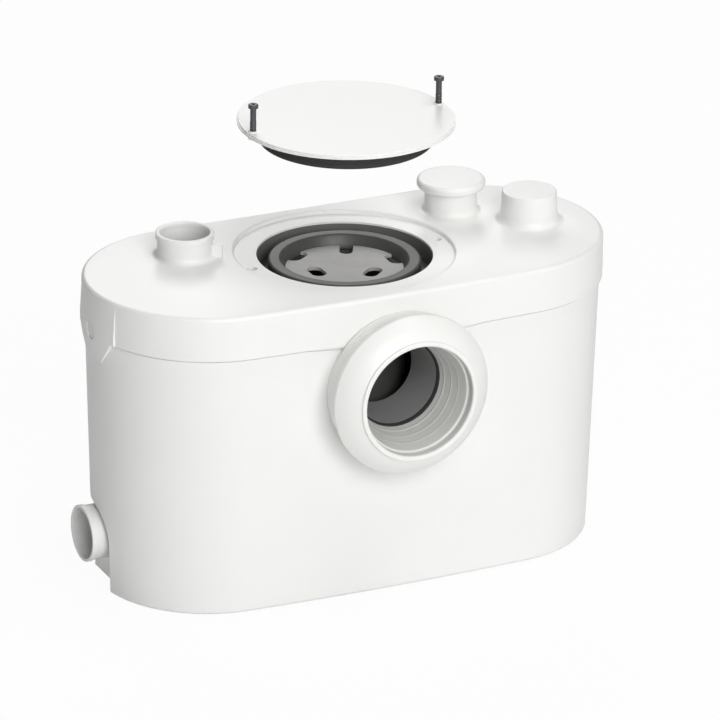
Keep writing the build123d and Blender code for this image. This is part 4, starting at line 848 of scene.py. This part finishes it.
@dataclass
class PanInlet(SubAssembly):
    """Clamp flange, ribbed sleeve, seal and collar of the pan inlet, with sizes in millimetres.

    A name that ends in out is a distance outwards along the inlet's axis.
    """

    neck_r: float = 60.3
    flange_back_out: float = 105.1
    flange_back_r: float = 62.6
    flange_edge_out: float = 129.2
    flange_edge_rounding: float = 2.6
    flange_edge_draw: float = 0.1
    flange_front_r: float = 68.0
    flange_nose_out: float = 143.6
    flange_bulge: float = 1.3
    flange_crown_steps: int = 12
    flange_side_steps: int = 60
    flange_seat_out: float = 126.1
    groove_count: int = 3
    groove_depth: float = 0.85
    groove_half_width: float = 2.3
    lip_r: float = 51.2
    lip_outer_rounding: float = 1.3
    lip_inner_rounding: float = 1.2
    mouth_r: float = 47.0
    mouth_out: float = 146.0
    mouth_end_out: float = 138.0
    mouth_end_rounding: float = 0.8
    throat_r: float = 46.0
    throat_start: float = 1.2
    throat_draw: float = 0.6
    throat_end_r: float = 37.4
    throat_end_rounding: float = 0.5
    sleeve_back_out: float = 103.6
    sleeve_outer_r: float = 52.7
    clamped_depth: float = 4.1
    seat_gap: float = 0.3
    seal_front_r: float = 36.7
    seal_front_rounding: float = 0.8
    seal_back_r: float = 35.6
    seal_back_rounding: float = 0.6
    soft_edge: float = 0.3
    collar_flange_out: float = 99.3
    collar_mouth_r: float = 35.9
    collar_step_out: float = 96.5
    collar_step_r: float = 39.0
    collar_step_rounding: float = 1.0
    collar_end_out: float = 64.0
    collar_end_outer_r: float = 37.5
    collar_end_r: float = 30.5
    collar_end_rounding: float = 0.5
    rib_count: int = 4
    rib_pitch: float = 8.6
    rib_section_r: float = 3.6
    rib_proud: float = 0.4
    rib_start_share: float = 0.45
    # The sleeve's inside is sheeted in a darker white as painted shade.
    inside_shade_wall: float = 0.15
    inside_shade_start: float = 2.0
    inside_shade_throat_start: float = 1.4

    def flange_outline(self) -> list[tuple[float, float]]:
        """Gives the flange's outline: slightly crowned front, soft edge and grooved side.

        Returns:
            Distances and radii in millimetres.
        """
        outline = []
        fall, rise = self.flange_nose_out - self.flange_edge_out, self.flange_front_r - self.lip_r
        slant = math.hypot(fall, rise)
        for step in range(self.flange_crown_steps):
            share = step / self.flange_crown_steps
            crown = self.flange_bulge * math.sin(math.pi * share)
            outline.append((self.flange_nose_out - fall * share + crown * rise / slant,
                            self.lip_r + rise * share + crown * fall / slant))
        side_start = self.flange_edge_out - self.flange_edge_rounding
        soft = rounded_profile([
            (*outline[-1], 0.0),
            (self.flange_edge_out, self.flange_front_r, self.flange_edge_rounding / 2),
            (side_start, self.flange_front_r - self.flange_edge_draw, 0.0),
        ])
        outline += soft[1:-1]
        length = side_start - self.flange_back_out
        for step in range(self.flange_side_steps):
            share = step / self.flange_side_steps
            distance = side_start - length * share
            radius = self.flange_front_r + (self.flange_back_r - self.flange_front_r) * share
            for groove in range(1, self.groove_count + 1):
                off = (share - groove / (self.groove_count + 1)) * length / self.groove_half_width
                if abs(off) < 1:
                    radius -= self.groove_depth * (1 + math.cos(math.pi * off)) / 2
            outline.append((distance, radius))
        outline += [
            (self.flange_back_out, self.flange_back_r),
            (self.flange_back_out, self.neck_r),
            (self.flange_seat_out, self.neck_r),
            (self.flange_seat_out, self.lip_r),
        ]
        return outline

    def sleeve_outline(self) -> list[tuple[float, float]]:
        """Gives the sleeve's outline: rounded lip, mouth, tapered throat and clamped collar.

        Returns:
            Distances and radii in millimetres.
        """
        clamped_back_out = self.flange_seat_out - self.clamped_depth
        clamped_front_out = self.flange_seat_out - self.seat_gap
        clamped_r = self.neck_r - self.seat_gap
        return rounded_profile([
            (self.mouth_out, self.lip_r, self.lip_outer_rounding),
            (self.mouth_out, self.mouth_r, self.lip_inner_rounding),
            (self.mouth_end_out, self.mouth_r, self.mouth_end_rounding),
            (self.mouth_end_out - self.throat_start, self.throat_r - self.throat_draw, self.throat_draw),
            (self.sleeve_back_out, self.throat_end_r, self.throat_end_rounding),
            (self.sleeve_back_out, self.sleeve_outer_r, 0.0),
            (clamped_back_out, self.sleeve_outer_r, 0.0),
            (clamped_back_out, clamped_r, 0.0),
            (clamped_front_out, clamped_r, 0.0),
            (clamped_front_out, self.lip_r, 0.0),
        ])

    def seal_outline(self) -> list[tuple[float, float]]:
        """Gives the outline of the seal between sleeve and collar.

        Returns:
            Distances and radii in millimetres.
        """
        front_out = self.sleeve_back_out - self.seat_gap
        return rounded_profile([
            (front_out, self.sleeve_outer_r, self.soft_edge),
            (front_out, self.seal_front_r, self.seal_front_rounding),
            (self.collar_flange_out, self.seal_back_r, self.seal_back_rounding),
            (self.collar_flange_out, self.sleeve_outer_r, self.soft_edge),
        ])

    def collar_outline(self) -> list[tuple[float, float]]:
        """Gives the outline of the tapered collar with its flange.

        Returns:
            Distances and radii in millimetres.
        """
        return rounded_profile([
            (self.collar_flange_out, self.collar_mouth_r, self.soft_edge),
            (self.collar_flange_out, self.sleeve_outer_r, self.soft_edge),
            (self.collar_step_out, self.sleeve_outer_r, self.soft_edge),
            (self.collar_step_out, self.collar_step_r, self.collar_step_rounding),
            (self.collar_end_out, self.collar_end_outer_r, self.collar_end_rounding),
            (self.collar_end_out, self.collar_end_r, self.collar_end_rounding),
        ])

    def inside_shade_outline(self) -> list[tuple[float, float]]:
        """Gives the outline of the thin darker sheet inside the sleeve's mouth and throat, which paints the
        shade that falls there.

        Returns:
            Distances and radii in millimetres.
        """
        inside = [
            (self.mouth_out - self.inside_shade_start, self.mouth_r),
            (self.mouth_end_out, self.mouth_r),
            (self.mouth_end_out - self.inside_shade_throat_start, self.throat_r - self.throat_draw),
            (self.sleeve_back_out, self.throat_end_r),
        ]
        outer = [(distance, radius + self.inside_shade_wall) for distance, radius in inside]
        return outer + [(distance, radius - self.inside_shade_wall) for distance, radius in reversed(inside)]

    def make(self) -> None:
        """Turns the flange, sleeve, seal and collar, then sheets the sleeve's inside in painted shade and
        sets its ribs.
        """
        turned = (
            ("pan_flange", self.flange_outline(), WHITE_FITTING),
            ("pan_sleeve", self.sleeve_outline(), WHITE_FITTING),
            ("pan_seal", self.seal_outline(), BLACK_RUBBER),
            ("pan_collar", self.collar_outline(), INLET_GREY),
        )
        for node, outline, finish in turned:
            mesh = MeshWorks.turned(f"{node}_turned", PAN_AXIS, outline, LARGE_TURN_STEPS)
            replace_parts(MeshWorks.piece(f"{node}_surface", mesh, finish, Body.HOUSING), node)
        # A thin darker sheet over the sleeve's inner wall paints the shade inside the sleeve.
        mesh = MeshWorks.turned("sleeve_inside_shade", PAN_AXIS, self.inside_shade_outline(), LARGE_TURN_STEPS)
        MeshWorks.piece("sleeve_inside_shade", mesh, SLEEVE_PAINTED_SHADE, Body.HOUSING)
        self.ribs()

    def ribs(self) -> bpy.types.Object:
        """Sets the shallow ribs round the inside of the sleeve's throat, in the sleeve's painted shade.

        Returns:
            The ribs.
        """
        first_out = self.mouth_end_out - self.rib_pitch * self.rib_start_share
        fall = (self.throat_r - self.throat_end_r) / (self.mouth_end_out - self.sleeve_back_out)
        sink = self.rib_section_r - self.rib_proud
        first_r = self.throat_r - (self.mouth_end_out - first_out) * fall + sink
        last_r = first_r - (self.rib_count - 1) * self.rib_pitch * fall
        tree = NodeTree("pan_sleeve_ribs", SLEEVE_PAINTED_SHADE)
        rings = tree.tapered_rings(self.rib_count, self.rib_pitch * MM, first_r * MM, last_r * MM,
                                   self.rib_section_r * MM)
        mesh = tree.mesh(rings, PAN_AXIS.frame_matrix(first_out * MM))
        return MeshWorks.piece("pan_sleeve_ribs", mesh, SLEEVE_PAINTED_SHADE, Body.HOUSING)


@dataclass
class AccessCover(SubAssembly):
    """Lifted cover with its seal and its two captive screws, with sizes in millimetres."""

    thread_pitch: float = 1.3
    thread_length: float = 15.0
    thread_depth: float = 0.42
    shank_r: float = 2.3

    kept = {
        "access_cover": Kept(WHITE_CASE, Body.COVER, 0.3),
        "cover_seal": Kept(BLACK_RUBBER, Body.COVER, 0.2),
        "cover_screw_left": Kept(SCREW_DARK, Body.LEFT_SCREW, 0.15),
        "cover_screw_right": Kept(SCREW_DARK, Body.RIGHT_SCREW, 0.15),
    }

    def make(self) -> None:
        """Winds the thread on each cover screw."""
        for side, body in (("left", Body.LEFT_SCREW), ("right", Body.RIGHT_SCREW)):
            low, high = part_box(f"cover_screw_{side}")
            foot = Vector(((low.x + high.x) / 2, (low.y + high.y) / 2, low.z + self.thread_pitch * MM))
            turns = self.thread_length / self.thread_pitch
            tree = NodeTree(f"cover_thread_{side}", SCREW_DARK)
            thread = tree.screw_thread(turns, self.thread_pitch * MM, self.shank_r * MM,
                                       self.thread_depth * MM)
            mesh = tree.mesh(thread, Matrix.Translation(foot))
            MeshWorks.piece(f"cover_thread_{side}", mesh, SCREW_DARK, body)


@dataclass
class Motor(SubAssembly):
    """Motor can, end plate, shields, bearings, laminations, windings and rotor, in millimetres."""

    winding_middle_r: float = 37.25
    winding_half: tuple[float, float] = (5.9, 6.1)
    wire_r: float = 0.8
    wire_count: int = 96
    wire_corner_r: float = 4.0
    loops_inset: float = 7.0
    # A thin dark grey sheet on the lid's opening wall paints the shade down in the opening.
    shade_sheet_r: float = 71.95
    shade_sheet_wall: float = 0.3
    shade_sheet_foot: float = 243.3
    shade_sheet_top: float = 257.9
    # A thin black ring under the plate's gap paints the shade in the motor's notches.
    gap_shade_height: float = 245.05
    gap_shade_inner_r: float = 43.6
    gap_shade_outer_r: float = 48.9

    kept = {
        "motor_can": Kept(CAN_GREY, bevel_mm=0.5),
        "end_plate": Kept(PLATE_GREY, bevel_mm=0.3),
        "can_screws": Kept(STEEL, bevel_mm=0.2),
        "motor_shield": Kept(CAN_GREY),
        "upper_bearing": Kept(STEEL, bevel_mm=0.1),
        "lower_bearing": Kept(STEEL, bevel_mm=0.1),
        "shaft_seal": Kept(BLACK_RUBBER),
        "stator": Kept(STACK_IRON),
        "windings": Kept(COPPER),
        "rotor": Kept(STACK_IRON, Body.ROTOR),
        "motor_shaft": Kept(STEEL, Body.ROTOR),
    }

    @staticmethod
    def ring_outline(foot: float, top: float, inner_r: float, outer_r: float) -> list[tuple[float, float]]:
        """Gives the outline of a plain ring.

        Args:
            foot: Height of its foot.
            top: Height of its top.
            inner_r: Inner radius.
            outer_r: Outer radius.

        Returns:
            Heights and radii of its four corners.
        """
        return [(foot, inner_r), (foot, outer_r), (top, outer_r), (top, inner_r)]

    def make(self) -> None:
        """Sheets the lower opening wall in painted shade, puts a black ring of painted shade in the plate's
        gap and winds both end turns.
        """
        # Dark grey sheet over the white opening wall: painted shade.
        shade_sheet_inner_r = self.shade_sheet_r - self.shade_sheet_wall
        shade_sheet = self.ring_outline(self.shade_sheet_foot, self.shade_sheet_top, shade_sheet_inner_r, self.shade_sheet_r)
        mesh = MeshWorks.turned("opening_shade_sheet", MIDDLE_AXIS, shade_sheet, MIDDLE_TURN_STEPS)
        MeshWorks.piece("opening_shade_sheet", mesh, OPENING_PAINTED_SHADE, Body.HOUSING)
        # Black ring below the plate: painted shade showing through the plate's notches.
        gap_top = self.gap_shade_height + self.shade_sheet_wall
        gap = self.ring_outline(self.gap_shade_height, gap_top, self.gap_shade_inner_r, self.gap_shade_outer_r)
        mesh = MeshWorks.turned("plate_gap_painted_shade", MIDDLE_AXIS, gap, SMALL_TURN_STEPS)
        MeshWorks.piece("plate_gap_painted_shade", mesh, BLACK_PLASTIC, Body.HOUSING)
        low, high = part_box("windings")
        inset = self.loops_inset * MM
        half = (self.winding_half[0] * MM, self.winding_half[1] * MM)
        for name, height in (("upper", high.z - inset), ("lower", low.z + inset)):
            tree = NodeTree(f"winding_loops_{name}", COPPER)
            loops = tree.wire_loops(self.wire_count, self.winding_middle_r * MM, half, self.wire_r * MM,
                                    self.wire_corner_r * MM)
            mesh = tree.mesh(loops, MIDDLE_AXIS.frame_matrix(height))
            MeshWorks.piece(f"winding_loops_{name}", mesh, COPPER, Body.HOUSING)


class Pump(SubAssembly):
    """Blade, basket, pump body, cover, impeller, screws and discharge pipe."""

    kept = {
        "blade": Kept(STEEL, Body.ROTOR, 0.2),
        "impeller": Kept(INNER_GREY, Body.ROTOR),
        "basket": Kept(INNER_GREY),
        "pump_body": Kept(INNER_GREY),
        "pump_cover": Kept(INNER_GREY, bevel_mm=0.3),
        "pump_screws": Kept(STEEL, bevel_mm=0.2),
        "discharge_pipe": Kept(INNER_GREY),
    }


class Valves(SubAssembly):
    """Non-return valve, side inlet and their hinged flaps."""

    kept = {
        "valve_body": Kept(INNER_GREY),
        "discharge_flap": Kept(BLACK_RUBBER, Body.OUTLET_FLAP, 0.2),
        "discharge_pin": Kept(STEEL),
        "side_inlet": Kept(WHITE_FITTING, bevel_mm=0.3),
        "side_lock_ring": Kept(WHITE_FITTING, bevel_mm=0.3),
        "side_flap": Kept(BLACK_RUBBER, Body.INLET_FLAP, 0.2),
        "side_pin": Kept(STEEL),
    }


@dataclass
class Controls(SubAssembly):
    """Vent, pressure switch, electrics box and cable gland, with sizes in millimetres."""

    grip_count: int = 24
    grip_r: float = 0.55
    grip_length: float = 6.2
    grip_distance: float = 8.25
    grip_lean: float = 0.26
    grip_inset: float = 4.7

    kept = {
        "vent_cap": Kept(WHITE_CASE, Body.VENT),
        "vent_filter": Kept(FELT),
        "pressure_bell": Kept(INNER_GREY),
        "diaphragm": Kept(BLACK_RUBBER),
        "switch_case": Kept(INNER_GREY),
        "switch_plunger": Kept(WHITE_FITTING, Body.PLUNGER, 0.2),
        "microswitch": Kept(BLACK_PLASTIC, bevel_mm=0.3),
        "electrics_box": Kept(INNER_GREY),
        "control_board": Kept(BOARD_GREEN),
        "capacitor": Kept(BLACK_PLASTIC),
        "cable_gland": Kept(BLACK_PLASTIC, bevel_mm=0.3),
        "gland_nut": Kept(BLACK_PLASTIC, bevel_mm=0.3),
    }

    def make(self) -> None:
        """Sets the grip ribs round the gland's tapered dome."""
        entry = mount_place("cable_entry")
        _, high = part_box("cable_gland")
        axis = TurningAxis((entry.x, 0.0, entry.z), (0.0, 1.0, 0.0), (1.0, 0.0, 0.0))
        tree = NodeTree("gland_grip", BLACK_PLASTIC)
        ribs = tree.ribs_about(self.grip_count, self.grip_distance * MM, self.grip_r * MM,
                               self.grip_length * MM, self.grip_lean)
        mesh = tree.mesh(ribs, axis.frame_matrix(high.y - self.grip_inset * MM))
        MeshWorks.piece("gland_grip", mesh, BLACK_PLASTIC, Body.HOUSING)


@dataclass(frozen=True)
class Lamp:
    """One square area lamp that faces the object.

    Attributes:
        name: Name of the lamp.
        place: Its place in metres.
        size: Side of the square in metres.
        power: Power in watts.
    """

    name: str
    place: tuple[float, float, float]
    size: float
    power: float

    def add(self, target: Vector) -> None:
        """Adds the lamp to the scene.

        Args:
            target: Point that it faces.
        """
        data = bpy.data.lights.new(self.name, "AREA")
        data.size = self.size
        data.energy = self.power
        lamp = bpy.data.objects.new(self.name, data)
        bpy.context.scene.collection.objects.link(lamp)
        lamp.location = self.place
        facing = target - Vector(self.place)
        lamp.rotation_euler = facing.to_track_quat("-Z", "Y").to_euler()


@dataclass
class Studio:
    """Pale floor, soft lamps and the camera at the photograph's angle.

    Attributes:
        azimuth_degrees: Camera azimuth, measured from the front towards the right.
        elevation_degrees: Camera height above the horizon.
        roll_degrees: Turn of the camera about its own axis.
        distance: Camera to target in metres.
        target: Point at the middle of the picture.
        focal_pixels: Focal length in pixels of the picture.
        picture_pixels: Width of the picture in pixels.
        sensor_width: Width of the camera's sensor in millimetres.
        view_end: Distance in metres past which the camera sees nothing.
        floor_half: Half the floor's side in metres.
        floor_tone: Grey of the floor's paper.
        floor_white_share: How far the camera sees the floor as plain white.
        world_strength: Strength of the light that the world gives.
        lamps: The lamps.
    """

    azimuth_degrees: float = -25.429
    elevation_degrees: float = 22.471
    roll_degrees: float = 0.785
    distance: float = 5.53598
    target: tuple[float, float, float] = (0.015108, 0.0, 0.163552)
    focal_pixels: float = 6759.08
    picture_pixels: float = 720.0
    sensor_width: float = 36.0
    view_end: float = 100.0
    floor_half: float = 12.0
    floor_tone: float = 0.85
    floor_white_share: float = 0.95
    world_strength: float = 0.19
    lamps: tuple[Lamp, ...] = (
        Lamp("key_lamp", (-0.35, -3.4, 1.8), 2.2, 96.0),
        Lamp("top_lamp", (0.9, -0.6, 3.6), 2.0, 41.0),
        Lamp("back_lamp", (0.8, 3.0, 2.4), 2.0, 42.0),
    )

    def build(self) -> None:
        """Makes the camera, the floor, the world and the lamps."""
        self._camera()
        self._floor()
        self._world()
        for lamp in self.lamps:
            lamp.add(Vector(self.target))
        bpy.context.scene.view_settings.view_transform = "Standard"

    def _camera(self) -> None:
        """Makes the camera that matches the photograph's view."""
        azimuth, elevation = math.radians(self.azimuth_degrees), math.radians(self.elevation_degrees)
        away = Vector((
            math.sin(azimuth) * math.cos(elevation),
            -math.cos(azimuth) * math.cos(elevation),
            math.sin(elevation),
        ))
        data = bpy.data.cameras.new("photo_camera")
        data.sensor_width = self.sensor_width
        data.lens = self.sensor_width * self.focal_pixels / self.picture_pixels
        data.clip_end = self.view_end
        camera = bpy.data.objects.new("photo_camera", data)
        bpy.context.scene.collection.objects.link(camera)
        right = Vector((math.cos(azimuth), math.sin(azimuth), 0.0))
        up = away.cross(right)
        turn = Matrix((right, up, away)).transposed().to_4x4()
        roll = Matrix.Rotation(math.radians(self.roll_degrees), 4, "Z")
        camera.matrix_world = Matrix.Translation(Vector(self.target) + away * self.distance) @ turn @ roll
        bpy.context.scene.camera = camera

    def _floor(self) -> None:
        """Makes the pale floor, seen as bright by the camera but keeping a soft shadow."""
        half = self.floor_half
        mesh = bpy.data.meshes.new("studio_floor")
        corners = [(-half, -half, 0.0), (half, -half, 0.0), (half, half, 0.0), (-half, half, 0.0)]
        mesh.from_pydata(corners, [], [(0, 1, 2, 3)])
        floor = bpy.data.objects.new("studio_floor", mesh)
        bpy.context.scene.collection.objects.link(floor)
        made = bpy.data.materials.new("floor_paper")
        made.use_nodes = True
        nodes, links = made.node_tree.nodes, made.node_tree.links
        nodes.clear()
        output = nodes.new("ShaderNodeOutputMaterial")
        paper = nodes.new("ShaderNodeBsdfDiffuse")
        paper.inputs["Color"].default_value = (self.floor_tone, self.floor_tone, self.floor_tone, 1.0)
        glow = nodes.new("ShaderNodeEmission")
        glow.inputs["Color"].default_value = WHITE
        glow.inputs["Strength"].default_value = 1.0
        path = nodes.new("ShaderNodeLightPath")
        share = nodes.new("ShaderNodeMath")
        share.operation = "MULTIPLY"
        share.inputs[1].default_value = self.floor_white_share
        mix = nodes.new("ShaderNodeMixShader")
        links.new(path.outputs["Is Camera Ray"], share.inputs[0])
        links.new(share.outputs[0], mix.inputs["Fac"])
        links.new(paper.outputs["BSDF"], mix.inputs[1])
        links.new(glow.outputs["Emission"], mix.inputs[2])
        links.new(mix.outputs["Shader"], output.inputs["Surface"])
        floor.data.materials.append(made)

    def _world(self) -> None:
        """Makes a plain pale world."""
        world = bpy.data.worlds.new("studio_world")
        world.use_nodes = True
        bpy.context.scene.world = world
        nodes, links = world.node_tree.nodes, world.node_tree.links
        nodes.clear()
        output = nodes.new("ShaderNodeOutputWorld")
        soft = nodes.new("ShaderNodeBackground")
        soft.inputs["Color"].default_value = WHITE
        soft.inputs["Strength"].default_value = self.world_strength
        bright = nodes.new("ShaderNodeBackground")
        bright.inputs["Color"].default_value = WHITE
        bright.inputs["Strength"].default_value = 1.0
        path = nodes.new("ShaderNodeLightPath")
        mix = nodes.new("ShaderNodeMixShader")
        links.new(path.outputs["Is Camera Ray"], mix.inputs["Fac"])
        links.new(soft.outputs["Background"], mix.inputs[1])
        links.new(bright.outputs["Background"], mix.inputs[2])
        links.new(mix.outputs["Shader"], output.inputs["Surface"])


def main() -> None:
    """Builds the studio and each sub-assembly in order."""
    logging.basicConfig(level=logging.INFO, format="%(message)s")
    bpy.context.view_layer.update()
    Studio().build()
    for assembly in (Casing(), PanInlet(), AccessCover(), Motor(), Pump(), Valves(), Controls()):
        log.info("assembly %s", type(assembly).__name__)
        assembly.dress()


if __name__ == "__main__":
    main()
